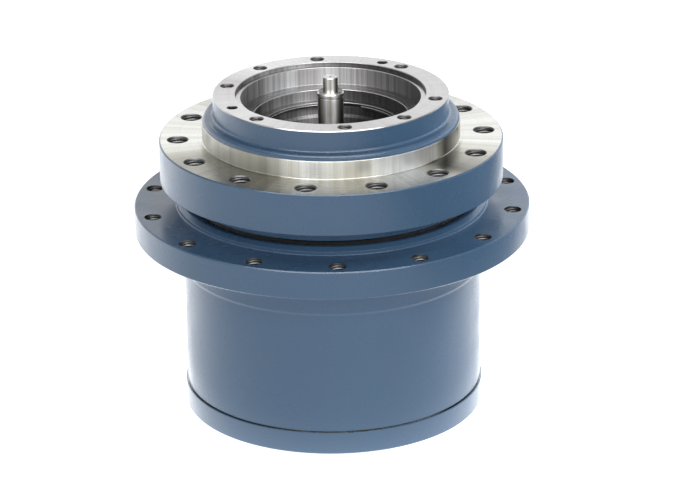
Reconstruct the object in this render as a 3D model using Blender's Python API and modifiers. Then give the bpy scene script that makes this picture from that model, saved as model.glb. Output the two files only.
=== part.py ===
"""Excavator final drive: a hub that turns round a fixed spindle, with two planetary stages inside.

The drive stands on its end cover. +Z runs from the cover up to the face where the hydraulic motor
bolts on, and the origin is the middle of the cover's outer face. All lengths are in metres.
"""

from math import acos, cos, pi, radians, sin, tan

import bmesh
import bpy
from mathutils import Matrix, Vector

# Gear train
MODULE = 0.0046
PRESSURE_ANGLE = radians(25)
ADDENDUM_SHARE = 1.0
DEDENDUM_SHARE = 1.25
RING_TEETH = 60
FIRST_SUN_TEETH = 12
FIRST_PLANET_TEETH = 24
SECOND_SUN_TEETH = 18
SECOND_PLANET_TEETH = 21
PLANETS_PER_STAGE = 3
BACKLASH = 0.0006
RING_RELIEF = 0.0008
FIRST_PLANET_ANGLE = radians(30)
SECOND_PLANET_ANGLE = radians(90)

# Clearances
FIT_GAP = 0.0003
RUN_GAP = 0.0005
OVERRUN = 0.002

# End cover, from its outer face up
COVER_THICKNESS = 0.0254
COVER_PROUD = 0.002
COVER_FLOOR = 0.0215
COVER_EDGE = 0.001
SPIGOT_HEIGHT = 0.008
SPIGOT_WALL = 0.0127
O_RING_SECTION = 0.0029
O_RING_GROOVE_HEIGHT = 0.004
THRUST_PAD_RADIUS = 0.020
THRUST_PAD_THICKNESS = 0.004
COVER_SCREWS = 12
COVER_SCREW_RADIUS = 0.004
COVER_SCREW_HEAD_RADIUS = 0.0065
COVER_SCREW_HEAD_HEIGHT = 0.008
COVER_SCREW_SUNK = 0.0008
COVER_SCREW_GRIP = 0.020
COVER_PLUG_CIRCLE_INSET = 0.062
COVER_PLUG_RADIUS = 0.012
COVER_PLUG_HEAD_RADIUS = 0.016
COVER_PLUG_HEAD_HEIGHT = 0.006
COVER_PLUG_REACH = 0.016
COVER_PLUG_ANGLES = (radians(0), radians(180))

# Rotating hub
RING_RIM = 0.006
RING_OVERLAP = 0.006
HUB_WALL = 0.01575
HUB_FOOT_CHAMFER = 0.0015
SPROCKET_FLANGE_REACH = 0.0542
SPROCKET_FLANGE_THICKNESS = 0.0314
SPROCKET_FLANGE_SETBACK = 0.0006
SPROCKET_HOLES = 14
SPROCKET_HOLE_RADIUS = 0.0087
SPROCKET_HOLE_INSET = 0.0165
SPROCKET_FIRST_HOLE = radians(1.8)
FLANGE_CHAMFER = 0.001
ROOT_FILLET_REACH = 0.0142
ROOT_FILLET_HEIGHT = 0.036
BOSS_HEIGHT = 0.0086
BOSS_LAND = 0.004
BOSS_CHAMFER = 0.004
BOSS_CHAMFER_WIDTH = 0.005

# Main bearings
BEARING_STEP = 0.00475
BEARING_SECTION = 0.035
BEARING_WIDTH = 0.028
BEARING_RIB = 0.012
BEARING_RIB_REACH = 0.0073
ROLLERS = 14
ROLLER_RADIUS = 0.0075
ROLLER_INSET = 0.003
ROLLER_TAPER_SHARE = 1.045
LOCK_NUT_THICKNESS = 0.014
LOCK_NUT_WIDTH = 0.018
LOCK_NUT_INSET = 0.002
LOCK_NUT_SLOTS = 4
LOCK_NUT_SLOT_WIDTH = 0.012
LOCK_NUT_SLOT_DEPTH = 0.006

# Floating seal between hub and spindle
SEAL_STEP = 0.0104
SEAL_PLANE_RISE = 0.002
SEAL_RING_WIDTH = 0.0089
SEAL_RING_HEIGHT = 0.0092
SEAL_FACE_HEIGHT = 0.0025
TORIC_RADIUS = 0.0046
TORIC_OFFSET = 0.007
SEAL_FLARE = 0.0083
SEAL_FLARE_HEIGHT = 0.0035

# Spindle, with the frame flange and the motor face
SPINDLE_WALL = 0.0337
SPINDLE_SHOULDER = 0.0183
COLLAR_WALL = 0.0068
COLLAR_LIP = 0.003
LABYRINTH_GAP = 0.004
FLANGE_SPACING = 0.0201
FRAME_FLANGE_THICKNESS = 0.047
FRAME_FLANGE_WIDTH = 0.0476
FRAME_HOLES = 14
FRAME_HOLE_RADIUS = 0.011
FRAME_HOLE_INSET = 0.0207
FRAME_HOLE_DEPTH = 0.038
FRAME_FIRST_HOLE = radians(-9.1)
PILOT_HEIGHT = 0.0199
PILOT_STEP = 0.001
SHOULDER_RING_WIDTH = 0.0115
SHOULDER_RING_HEIGHT = 0.006
SHOULDER_RING_ROUND = 0.005
NECK_HEIGHT = 0.0239
NECK_FILLET = 0.003
MOTOR_FACE_WIDTH = 0.0248
MOTOR_FACE_CHAMFER = 0.001
MOTOR_LIP_WIDTH = 0.006
MOTOR_LIP_DEPTH = 0.0043
MOTOR_LEDGE_WIDTH = 0.0141
MOTOR_REGISTER_DEPTH = 0.0241
MOTOR_LEDGE_DROP = 0.0018
INNER_LEDGE_WIDTH = 0.0094
INNER_LEDGE_DEPTH = 0.0379
MOTOR_HOLE_CIRCLE_SHARE = 0.484
MOTOR_HOLE_RADIUS = 0.007
MOTOR_HOLE_DEPTH = 0.030
MOTOR_HOLE_ANGLES = tuple(radians(a) for a in (7.5, 42.5, 77.5, 137.5, 187.5, 222.5, 257.5, 317.5))
DOWEL_HOLE_RADIUS = 0.0055
DOWEL_HOLE_DEPTH = 0.020
DOWEL_HOLE_ANGLES = (radians(-65.4), radians(150.2))
BORE_RING_THICKNESS = 0.0025
BORE_RING_OVERHANG = 0.0025
BORE_RING_SEAT_DEPTH = 0.0035
BORE_RING_LAND = 0.0015
BORE_RING_GAP_ANGLE = radians(34)
BORE_RING_GAP_MIDDLE = radians(170)
BORE_RIB_REACH = 0.003
BORE_RIB_DEPTH = 0.0514
BORE_RIB_HEIGHT = 0.013

# Input shaft with the first sun gear
SHAFT_RADIUS = 0.0132
SHAFT_STANDOUT = 0.0181
STUB_RADIUS = 0.00815
STUB_LENGTH = 0.0168
STUB_CHAMFER = 0.0012
SHAFT_SHOULDER_HEIGHT = 0.0035
SHAFT_COLLAR_RADIUS = 0.0148
SHAFT_COLLAR_HEIGHT = 0.0025
SHAFT_FOOT_RADIUS = 0.012
SHAFT_BORE_GAP = 0.0017

# First stage
STAGE_RISE = 0.0013
FIRST_LOWER_PLATE = 0.007
FIRST_POCKET = 0.029
FIRST_UPPER_PLATE = 0.010
FIRST_PIN_RADIUS = 0.016
FIRST_BUSH_WALL = 0.005

# Second stage
STAGE_SPACING = 0.002
SECOND_LOWER_PLATE = 0.010
SECOND_POCKET = 0.050
SECOND_UPPER_PLATE = 0.0154
SECOND_PIN_RADIUS = 0.020
SECOND_BUSH_WALL = 0.006
CARRIER_SPIGOT_HEIGHT = 0.008
CARRIER_SCREW_RADIUS = 0.008
CARRIER_SCREW_HEAD_RADIUS = 0.012
CARRIER_SCREW_HEAD_HEIGHT = 0.016
CARRIER_SCREW_SUNK = 0.002
CARRIER_SCREW_GRIP = 0.028

# Both carriers
CARRIER_RIM_GAP = 0.0074
TOOTH_TIP_GAP = 0.002
PIN_INSET = 0.001

# Facets
ROUND_STEPS = 28
POCKET_STEPS = 24
SMALL_STEPS = 12
HOLE_STEPS = 8
SCREW_STEPS = 8
THREAD_STEPS = 6
TORIC_STEPS = 5
O_RING_STEPS = 4
FLANK_STEPS = 3
RING_FLANK_STEPS = 2
MERGE_DISTANCE = 0.00001

# Radii worked out from the sizes above, from the teeth outwards and then inwards
RING_PITCH = MODULE * RING_TEETH / 2
RING_TIP = RING_PITCH - ADDENDUM_SHARE * MODULE
RING_OUTER = RING_PITCH + DEDENDUM_SHARE * MODULE + RING_RIM
HUB_BORE = RING_OUTER + FIT_GAP
HUB_OUTER = HUB_BORE + HUB_WALL
FLANGE_OUTER = HUB_OUTER + SPROCKET_FLANGE_REACH
CUP_OUTER = RING_OUTER - BEARING_STEP
CUP_SEAT = CUP_OUTER + FIT_GAP
CONE_BORE = CUP_OUTER - BEARING_SECTION
JOURNAL = CONE_BORE - FIT_GAP
SPINDLE_BORE = JOURNAL - SPINDLE_WALL
SPINDLE_BODY = JOURNAL + SPINDLE_SHOULDER
SEAL_BORE = CUP_SEAT + SEAL_STEP
TORIC_CENTRE = SEAL_BORE - FIT_GAP - TORIC_RADIUS
SEAL_RING_OUTER = TORIC_CENTRE - TORIC_RADIUS - FIT_GAP
SEAL_RING_INNER = SEAL_RING_OUTER - SEAL_RING_WIDTH
BOSS_INNER = SEAL_BORE + SEAL_FLARE
BOSS_OUTER = BOSS_INNER + BOSS_LAND + BOSS_CHAMFER_WIDTH
COLLAR_OUTER = SEAL_BORE + COLLAR_WALL
INNER_LEDGE = SPINDLE_BORE + INNER_LEDGE_WIDTH
MOTOR_REGISTER = INNER_LEDGE + MOTOR_LEDGE_WIDTH
MOTOR_LIP = MOTOR_REGISTER + MOTOR_LIP_WIDTH
MOTOR_FACE = MOTOR_LIP + MOTOR_FACE_WIDTH
SHOULDER_RING = MOTOR_FACE + SHOULDER_RING_WIDTH
PILOT = SHOULDER_RING + PILOT_STEP
FRAME_FLANGE = PILOT + FRAME_FLANGE_WIDTH
SPIGOT_OUTER = HUB_BORE - FIT_GAP
CARRIER_OUTER = RING_TIP - CARRIER_RIM_GAP
FIRST_CENTRES = MODULE * (FIRST_SUN_TEETH + FIRST_PLANET_TEETH) / 2
SECOND_CENTRES = MODULE * (SECOND_SUN_TEETH + SECOND_PLANET_TEETH) / 2

# Heights worked out from the sizes above, from the floor up
SPIGOT_TOP = COVER_THICKNESS + SPIGOT_HEIGHT
RING_BOTTOM = SPIGOT_TOP + FIT_GAP
PAD_BOTTOM = COVER_FLOOR + FIT_GAP
SHAFT_BOTTOM = PAD_BOTTOM + THRUST_PAD_THICKNESS + RUN_GAP
FIRST_POCKET_BOTTOM = RING_BOTTOM + STAGE_RISE
FIRST_BOTTOM = FIRST_POCKET_BOTTOM - FIRST_LOWER_PLATE
FIRST_POCKET_TOP = FIRST_POCKET_BOTTOM + FIRST_POCKET
FIRST_TOP = FIRST_POCKET_TOP + FIRST_UPPER_PLATE
SECOND_BOTTOM = FIRST_TOP + STAGE_SPACING
SECOND_POCKET_BOTTOM = SECOND_BOTTOM + SECOND_LOWER_PLATE
SECOND_POCKET_TOP = SECOND_POCKET_BOTTOM + SECOND_POCKET
SECOND_TOP = SECOND_POCKET_TOP + SECOND_UPPER_PLATE
RING_TOP = SECOND_POCKET_TOP + RING_OVERLAP
SPINDLE_END = SECOND_TOP + FIT_GAP
NUT_BOTTOM = SPINDLE_END + LOCK_NUT_INSET
NUT_TOP = NUT_BOTTOM + LOCK_NUT_THICKNESS
LOWER_BEARING = NUT_TOP + FIT_GAP
RIB_BOTTOM = LOWER_BEARING + BEARING_WIDTH
UPPER_BEARING = RIB_BOTTOM + BEARING_RIB
BEARING_TOP = UPPER_BEARING + BEARING_WIDTH
FLANGE_TOP = BEARING_TOP - SPROCKET_FLANGE_SETBACK
FLANGE_BOTTOM = FLANGE_TOP - SPROCKET_FLANGE_THICKNESS
BOSS_TOP = FLANGE_TOP + BOSS_HEIGHT
SEAL_PLANE = BOSS_TOP + SEAL_PLANE_RISE
SEAL_FLOOR_DEPTH = TORIC_OFFSET + TORIC_RADIUS + FIT_GAP
COLLAR_BOTTOM = BOSS_TOP + LABYRINTH_GAP
FRAME_FLANGE_BOTTOM = BOSS_TOP + FLANGE_SPACING
FRAME_FLANGE_TOP = FRAME_FLANGE_BOTTOM + FRAME_FLANGE_THICKNESS
PILOT_TOP = FRAME_FLANGE_TOP + PILOT_HEIGHT
SHOULDER_TOP = PILOT_TOP + SHOULDER_RING_HEIGHT
MOTOR_TOP = SHOULDER_TOP + NECK_HEIGHT
INNER_LEDGE_TOP = MOTOR_TOP - INNER_LEDGE_DEPTH
BORE_RING_TOP = INNER_LEDGE_TOP - BORE_RING_LAND - FIT_GAP
BORE_RING_BOTTOM = BORE_RING_TOP - BORE_RING_THICKNESS
BORE_RIB_TOP = MOTOR_TOP - BORE_RIB_DEPTH
BORE_RIB_BOTTOM = BORE_RIB_TOP - BORE_RIB_HEIGHT
SHAFT_TOP = MOTOR_TOP + SHAFT_STANDOUT


# Scene and materials

def clear_scene():
    for obj in list(bpy.data.objects):
        bpy.data.objects.remove(obj, do_unlink=True)


def new_collection(name):
    collection = bpy.data.collections.new(name)
    bpy.context.scene.collection.children.link(collection)
    return collection


def new_material(name, colour, roughness, metallic):
    material = bpy.data.materials.new(name)
    material.use_nodes = True
    shader = material.node_tree.nodes["Principled BSDF"]
    shader.inputs["Base Color"].default_value = (*colour, 1)
    shader.inputs["Roughness"].default_value = roughness
    shader.inputs["Metallic"].default_value = metallic
    return material


clear_scene()
PARTS = new_collection("excavator_final_drive")
CUTTERS = new_collection("cutters")
PAINT = new_material("blue_grey_paint", (0.16, 0.23, 0.31), 0.45, 0)
MACHINED = new_material("machined_steel", (0.62, 0.62, 0.60), 0.35, 1)
GEAR_STEEL = new_material("gear_steel", (0.42, 0.43, 0.44), 0.3, 1)
BEARING_STEEL = new_material("bearing_steel", (0.7, 0.71, 0.72), 0.2, 1)
BLACK_STEEL = new_material("black_oxide_steel", (0.05, 0.05, 0.055), 0.45, 1)
BRONZE = new_material("bearing_bronze", (0.55, 0.36, 0.16), 0.35, 1)
RUBBER = new_material("nitrile_rubber", (0.02, 0.02, 0.02), 0.6, 0)


# Places and outlines

def from_front(angle):
    """The angle from +X of a place given from the front, -Y, towards +X."""
    return angle - pi / 2


def on_circle(radius, angle, height=0.0):
    return Vector((radius * cos(angle), radius * sin(angle), height))


def evenly(count, first=0.0):
    return [first + 2 * pi * i / count for i in range(count)]


def hole_radius(radius, steps):
    """The corner radius of a faceted hole that a round of this radius just passes."""
    return radius / cos(pi / steps)


def circle_outline(radius, steps, centre=(0.0, 0.0), first=0.0):
    return [(centre[0] + radius * cos(a), centre[1] + radius * sin(a)) for a in evenly(steps, first)]


def involute(angle):
    return tan(angle) - angle


def half_tooth_angle(radius, pitch, half_at_pitch):
    """Half the angle that an involute tooth takes up at this radius."""
    base = pitch * cos(PRESSURE_ANGLE)
    here = acos(min(1, base / radius))
    return half_at_pitch + involute(PRESSURE_ANGLE) - involute(here)


def gear_outline(teeth, flank_points, sense=1):
    """A gear's outline with a tooth centred on +X or, for an inner gear, a space centred there."""
    pitch = MODULE * teeth / 2
    outer = pitch + (ADDENDUM_SHARE if sense > 0 else DEDENDUM_SHARE) * MODULE
    inner = pitch - (DEDENDUM_SHARE if sense > 0 else ADDENDUM_SHARE) * MODULE
    relief = 0 if sense > 0 else RING_RELIEF
    half_at_pitch = pi / (2 * teeth) + (relief - sense * BACKLASH) / (4 * pitch)
    outline = []
    for centre in evenly(teeth):
        for side in (-1, 1):
            shares = [i / (flank_points - 1) for i in range(flank_points)]
            for share in shares if side < 0 else reversed(shares):
                radius = inner + share * (outer - inner)
                angle = half_tooth_angle(radius, pitch, half_at_pitch)
                outline.append((radius * cos(centre + side * angle), radius * sin(centre + side * angle)))
    return outline


def roller_outline():
    """The outline of a ring of rollers joined by their cage, seen along the axis: its outside and inside."""
    middle = (CUP_OUTER + CONE_BORE) / 2
    spread = ROLLER_RADIUS / middle
    corner = tan(pi / 8)
    bump_shares = ((-1, corner), (-corner, 1), (corner, 1), (1, corner))
    outside = []
    inside = []
    for centre in evenly(ROLLERS):
        for across, up in bump_shares:
            angle = centre + across * spread
            outside.append(tuple(on_circle(middle + up * ROLLER_RADIUS, angle).xy))
            inside.append(tuple(on_circle(middle - up * ROLLER_RADIUS, angle).xy))
    return outside, inside


# Making solids

def add_object(name, data, material, parent=None, location=(0, 0, 0), turn=0.0):
    obj = bpy.data.objects.new(name, data)
    PARTS.objects.link(obj)
    obj.location = location
    obj.rotation_euler.z = turn
    obj.parent = parent
    data.materials.append(material)
    return obj


def turned(name, points, material, parent=None, location=(0, 0, 0), steps=ROUND_STEPS, ring=True):
    """A turned piece. The points (radius, height) run down its outside, and a ring goes back up inside."""
    mesh = bpy.data.meshes.new(name)
    count = len(points)
    edges = [(i, (i + 1) % count) for i in range(count if ring else count - 1)]
    mesh.from_pydata([(radius, 0, height) for radius, height in points], edges, [])
    obj = add_object(name, mesh, material, parent, location)
    screw = obj.modifiers.new("turn", "SCREW")
    screw.axis = "Z"
    screw.angle = 2 * pi
    screw.steps = screw.render_steps = steps
    screw.use_smooth_shade = False
    screw.use_merge_vertices = True
    screw.merge_threshold = MERGE_DISTANCE
    return obj


def extruded(name, outlines, bottom, top, material, parent=None, location=(0, 0, 0), turn=0.0):
    """A flat outline, with the holes that the other outlines give, between two heights."""
    curve = bpy.data.curves.new(name, "CURVE")
    curve.dimensions = "2D"
    curve.fill_mode = "BOTH"
    curve.extrude = (top - bottom) / 2
    for outline in outlines:
        spline = curve.splines.new("POLY")
        spline.points.add(len(outline) - 1)
        for point, (x, y) in zip(spline.points, outline):
            point.co = (x, y, 0, 1)
        spline.use_cyclic_u = True
    place = (location[0], location[1], location[2] + (top + bottom) / 2)
    return add_object(name, curve, material, parent, place, turn)


def rounds(places, steps):
    """Upright rods as one mesh: each place is (x, y, radius, bottom, top)."""
    shape = bmesh.new()
    for x, y, radius, bottom, top in places:
        middle = Matrix.Translation((x, y, (bottom + top) / 2))
        corner = hole_radius(radius, steps)
        bmesh.ops.create_cone(shape, cap_ends=True, segments=steps, radius1=corner, radius2=corner,
                              depth=top - bottom, matrix=middle)
    return shape


def blocks(places):
    """Upright boxes as one mesh: each place is (radius, angle, depth, width, bottom, top)."""
    shape = bmesh.new()
    for radius, angle, depth, width, bottom, top in places:
        centre = Matrix.Rotation(angle, 4, "Z") @ Matrix.Translation((radius, 0, (bottom + top) / 2))
        size = Matrix.Diagonal((depth, width, top - bottom, 1))
        bmesh.ops.create_cube(shape, size=1, matrix=centre @ size)
    return shape


def helper(name, shape, parent=None):
    mesh = bpy.data.meshes.new(name)
    shape.to_mesh(mesh)
    shape.free()
    obj = bpy.data.objects.new(name, mesh)
    CUTTERS.objects.link(obj)
    obj.parent = parent
    obj.hide_render = True
    obj.display_type = "WIRE"
    return obj


def combine(obj, other, operation="DIFFERENCE"):
    boolean = obj.modifiers.new(other.name, "BOOLEAN")
    boolean.operation = operation
    boolean.solver = "EXACT"
    boolean.object = other


def outline_block(outline, bottom, top):
    """An extruded outline as a closed mesh, to cut or join with."""
    shape = bmesh.new()
    face = shape.faces.new([shape.verts.new((x, y, bottom)) for x, y in outline])
    sides = bmesh.ops.extrude_face_region(shape, geom=[face])["geom"]
    moved = [v for v in sides if isinstance(v, bmesh.types.BMVert)]
    bmesh.ops.translate(shape, verts=moved, vec=(0, 0, top - bottom))
    bmesh.ops.recalc_face_normals(shape, faces=shape.faces)
    return shape


def turning_point(name, parent=None, location=(0, 0, 0)):
    """An empty on a joint's axis, which carries the pieces that turn with it."""
    empty = bpy.data.objects.new(name, None)
    PARTS.objects.link(empty)
    empty.parent = parent
    empty.location = location
    return empty


# Spindle side

def neck_profile():
    """The motor neck's outer side, from its face down to the fillet and over the rounded shoulder ring."""
    quarter = evenly(12)[:4]
    fillet = [(MOTOR_FACE + NECK_FILLET * (1 - cos(a)), SHOULDER_TOP + NECK_FILLET * (1 - sin(a)))
              for a in quarter]
    rounding = [(SHOULDER_RING - SHOULDER_RING_ROUND * (1 - sin(a)),
                 SHOULDER_TOP - SHOULDER_RING_ROUND * (1 - cos(a))) for a in quarter]
    return [
        (MOTOR_FACE - MOTOR_FACE_CHAMFER, MOTOR_TOP),
        (MOTOR_FACE, MOTOR_TOP - MOTOR_FACE_CHAMFER),
        *fillet,
        *rounding,
        (SHOULDER_RING, PILOT_TOP),
    ]


def bore_profile():
    """The bore from its lower end up, over a bevelled rib and the retaining ring's groove."""
    rib = SPINDLE_BORE - BORE_RIB_REACH
    seat = SPINDLE_BORE + BORE_RING_SEAT_DEPTH
    return [
        (SPINDLE_BORE, SPINDLE_END),
        (SPINDLE_BORE, BORE_RIB_BOTTOM),
        (rib, BORE_RIB_BOTTOM + BORE_RIB_REACH),
        (rib, BORE_RIB_TOP - BORE_RIB_REACH),
        (SPINDLE_BORE, BORE_RIB_TOP),
        (SPINDLE_BORE, BORE_RING_BOTTOM - FIT_GAP),
        (seat, BORE_RING_BOTTOM - FIT_GAP),
        (seat, BORE_RING_TOP + FIT_GAP),
        (SPINDLE_BORE, BORE_RING_TOP + FIT_GAP),
        (SPINDLE_BORE, INNER_LEDGE_TOP),
    ]


def spindle_profile():
    return [
        *neck_profile(),
        (PILOT, PILOT_TOP),
        (PILOT, FRAME_FLANGE_TOP),
        (FRAME_FLANGE - FLANGE_CHAMFER, FRAME_FLANGE_TOP),
        (FRAME_FLANGE, FRAME_FLANGE_TOP - FLANGE_CHAMFER),
        (FRAME_FLANGE, FRAME_FLANGE_BOTTOM + FLANGE_CHAMFER),
        (FRAME_FLANGE - FLANGE_CHAMFER, FRAME_FLANGE_BOTTOM),
        (COLLAR_OUTER, FRAME_FLANGE_BOTTOM),
        (COLLAR_OUTER, COLLAR_BOTTOM),
        (SEAL_BORE + COLLAR_LIP, COLLAR_BOTTOM),
        (SEAL_BORE, COLLAR_BOTTOM + COLLAR_LIP),
        (SEAL_BORE, SEAL_PLANE + SEAL_FLOOR_DEPTH),
        (SPINDLE_BODY, SEAL_PLANE + SEAL_FLOOR_DEPTH),
        (SPINDLE_BODY, BEARING_TOP),
        (JOURNAL, BEARING_TOP),
        (JOURNAL, SPINDLE_END),
        *bore_profile(),
        (INNER_LEDGE, INNER_LEDGE_TOP),
        (INNER_LEDGE, MOTOR_TOP - MOTOR_REGISTER_DEPTH - MOTOR_LEDGE_DROP),
        (MOTOR_REGISTER, MOTOR_TOP - MOTOR_REGISTER_DEPTH),
        (MOTOR_REGISTER, MOTOR_TOP - MOTOR_LIP_DEPTH),
        (MOTOR_LIP, MOTOR_TOP - MOTOR_LIP_DEPTH),
        (MOTOR_LIP, MOTOR_TOP),
    ]


def spindle_holes():
    """The tapped holes of the frame flange and the motor face, and those for the carrier's screws."""
    frame_circle = FRAME_FLANGE - FRAME_HOLE_INSET
    motor_circle = MOTOR_LIP + MOTOR_HOLE_CIRCLE_SHARE * MOTOR_FACE_WIDTH
    frame_bottom = FRAME_FLANGE_TOP - FRAME_HOLE_DEPTH
    holes = []
    for angle in evenly(FRAME_HOLES, from_front(FRAME_FIRST_HOLE)):
        x, y = on_circle(frame_circle, angle).xy
        holes.append((x, y, FRAME_HOLE_RADIUS, frame_bottom, FRAME_FLANGE_TOP + OVERRUN))
    for angles, radius, depth in ((MOTOR_HOLE_ANGLES, MOTOR_HOLE_RADIUS, MOTOR_HOLE_DEPTH),
                                  (DOWEL_HOLE_ANGLES, DOWEL_HOLE_RADIUS, DOWEL_HOLE_DEPTH)):
        for angle in angles:
            x, y = on_circle(motor_circle, from_front(angle)).xy
            holes.append((x, y, radius, MOTOR_TOP - depth, MOTOR_TOP + OVERRUN))
    for place in carrier_screw_places():
        top = SPINDLE_END + CARRIER_SCREW_GRIP + OVERRUN
        holes.append((place.x, place.y, CARRIER_SCREW_RADIUS + FIT_GAP, SPINDLE_END - OVERRUN, top))
    return holes


def make_spindle():
    spindle = turned("spindle_housing", spindle_profile(), PAINT)
    combine(spindle, helper("spindle_holes", rounds(spindle_holes(), HOLE_STEPS)))


def make_bore_ring():
    """The open retaining ring in its groove inside the motor bore."""
    outer = SPINDLE_BORE + BORE_RING_SEAT_DEPTH - FIT_GAP
    inner = SPINDLE_BORE - BORE_RING_OVERHANG
    profile = [(outer, BORE_RING_TOP), (outer, BORE_RING_BOTTOM), (inner, BORE_RING_BOTTOM),
               (inner, BORE_RING_TOP)]
    ring = turned("bore_retaining_ring", profile, MACHINED)
    gap = 2 * outer * sin(BORE_RING_GAP_ANGLE / 2)
    block = blocks([(outer, from_front(BORE_RING_GAP_MIDDLE), outer, gap, BORE_RING_BOTTOM - OVERRUN,
                     BORE_RING_TOP + OVERRUN)])
    combine(ring, helper("bore_ring_gap", block))


def make_lock_nut():
    bore = JOURNAL + FIT_GAP
    outer = bore + LOCK_NUT_WIDTH
    nut = turned("bearing_lock_nut",
                 [(outer, NUT_TOP), (outer, NUT_BOTTOM), (bore, NUT_BOTTOM), (bore, NUT_TOP)], BLACK_STEEL)
    middle = outer - LOCK_NUT_SLOT_DEPTH / 2 + OVERRUN / 2
    slots = [(middle, angle, LOCK_NUT_SLOT_DEPTH + OVERRUN, LOCK_NUT_SLOT_WIDTH, NUT_BOTTOM - OVERRUN,
              NUT_TOP - LOCK_NUT_THICKNESS / 2) for angle in evenly(LOCK_NUT_SLOTS, pi / LOCK_NUT_SLOTS)]
    combine(nut, helper("lock_nut_slots", blocks(slots)))


# Main bearings

def raceways():
    """The cone's and the cup's raceway radius at the small end of the rollers."""
    middle = (CUP_OUTER + CONE_BORE) / 2
    reach = ROLLER_RADIUS + RUN_GAP
    return middle - reach, hole_radius(middle + reach, ROUND_STEPS)


def make_bearing(name, back, front, hub, spindle, cage):
    """One taper roller bearing. Back is the height of its seat on the rib, and front its other side."""
    sense = 1 if front > back else -1
    cone_small, cup_small = raceways()
    seat = back + sense * FIT_GAP
    end = front - sense * FIT_GAP
    low, high = sorted((seat, front))
    cup = [(CUP_OUTER, high), (CUP_OUTER, low)]
    cup += [(cup_small * (ROLLER_TAPER_SHARE if z == front else 1), z) for z in (low, high)]
    turned(f"{name}_bearing_cup", cup, BEARING_STEEL, hub)
    low, high = sorted((back, end))
    cone = [(cone_small * (ROLLER_TAPER_SHARE if z == end else 1), z) for z in (high, low)]
    cone += [(CONE_BORE, low), (CONE_BORE, high)]
    turned(f"{name}_bearing_cone", cone, BEARING_STEEL, spindle)
    make_rollers(name, back + sense * ROLLER_INSET, front - sense * ROLLER_INSET, back, front, cage)


def make_rollers(name, small_end, large_end, back, front, cage):
    """The tapered rollers in their cage, as one ring that widens towards its large end."""
    outside, inside = roller_outline()
    shape = bmesh.new()
    levels = []
    for height in (small_end, large_end):
        taper = 1 + (ROLLER_TAPER_SHARE - 1) * (height - back) / (front - back)
        levels.append([[shape.verts.new((x * taper, y * taper, height)) for x, y in ring]
                       for ring in (outside, inside)])
    count = len(outside)
    for i in range(count):
        j = (i + 1) % count
        for level in levels:
            shape.faces.new((level[0][i], level[0][j], level[1][j], level[1][i]))
        for side in (0, 1):
            shape.faces.new((levels[0][side][i], levels[0][side][j], levels[1][side][j], levels[1][side][i]))
    bmesh.ops.recalc_face_normals(shape, faces=shape.faces)
    mesh = bpy.data.meshes.new(f"{name}_bearing_rollers")
    shape.to_mesh(mesh)
    shape.free()
    add_object(f"{name}_bearing_rollers", mesh, BEARING_STEEL, cage)


# Floating seal

def make_seal(name, sense, parent):
    """One half of the floating seal: its metal ring and the rubber toric that presses on it."""
    face = SEAL_PLANE + sense * FIT_GAP / 2
    shoulder = face + sense * SEAL_FACE_HEIGHT
    end = face + sense * SEAL_RING_HEIGHT
    nose = SEAL_RING_OUTER + TORIC_RADIUS
    ring = [(nose, shoulder), (nose, face), (SEAL_RING_INNER, face), (SEAL_RING_INNER, end),
            (SEAL_RING_OUTER, end), (SEAL_RING_OUTER, shoulder)]
    turned(f"{name}_seal_ring", ring if sense > 0 else ring[::-1], MACHINED, parent)
    centre = SEAL_PLANE + sense * TORIC_OFFSET
    toric = [(TORIC_CENTRE + TORIC_RADIUS * cos(a), centre - TORIC_RADIUS * sin(a))
             for a in evenly(TORIC_STEPS)]
    turned(f"{name}_seal_toric", toric, RUBBER, parent)


# Hub side

def hub_profile():
    fillet_run = FLANGE_BOTTOM - ROOT_FILLET_HEIGHT
    fillet = [(HUB_OUTER + ROOT_FILLET_REACH * (1 - sin(a)),
               FLANGE_BOTTOM - ROOT_FILLET_HEIGHT * (1 - cos(a))) for a in evenly(12)[:3]]
    return [
        (BOSS_INNER, BOSS_TOP),
        (BOSS_INNER + BOSS_LAND, BOSS_TOP),
        (BOSS_OUTER, BOSS_TOP - BOSS_CHAMFER),
        (BOSS_OUTER, FLANGE_TOP),
        (FLANGE_OUTER - FLANGE_CHAMFER, FLANGE_TOP),
        (FLANGE_OUTER, FLANGE_TOP - FLANGE_CHAMFER),
        (FLANGE_OUTER, FLANGE_BOTTOM + FLANGE_CHAMFER),
        (FLANGE_OUTER - FLANGE_CHAMFER, FLANGE_BOTTOM),
        *fillet,
        (HUB_OUTER, fillet_run),
        (HUB_OUTER, COVER_THICKNESS + FIT_GAP + HUB_FOOT_CHAMFER),
        (HUB_OUTER - HUB_FOOT_CHAMFER, COVER_THICKNESS + FIT_GAP),
        (HUB_BORE, COVER_THICKNESS + FIT_GAP),
        (HUB_BORE, RING_TOP + FIT_GAP),
        (CUP_SEAT, RING_TOP + FIT_GAP),
        (CUP_SEAT, RIB_BOTTOM),
        (CUP_SEAT - BEARING_RIB_REACH, RIB_BOTTOM),
        (CUP_SEAT - BEARING_RIB_REACH, UPPER_BEARING),
        (CUP_SEAT, UPPER_BEARING),
        (CUP_SEAT, SEAL_PLANE - SEAL_FLOOR_DEPTH),
        (SEAL_BORE, SEAL_PLANE - SEAL_FLOOR_DEPTH),
        (SEAL_BORE, BOSS_TOP - SEAL_FLARE_HEIGHT),
    ]


def cover_screw_places():
    circle = (HUB_BORE + HUB_OUTER) / 2
    return [on_circle(circle, angle) for angle in evenly(COVER_SCREWS, pi / COVER_SCREWS)]


def cover_plug_places():
    return [on_circle(HUB_BORE - COVER_PLUG_CIRCLE_INSET, angle) for angle in COVER_PLUG_ANGLES]


def screw_seat_top():
    """The height of the counterbore's end, where a cover screw's head bears."""
    return COVER_SCREW_SUNK + COVER_SCREW_HEAD_HEIGHT + FIT_GAP


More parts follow.
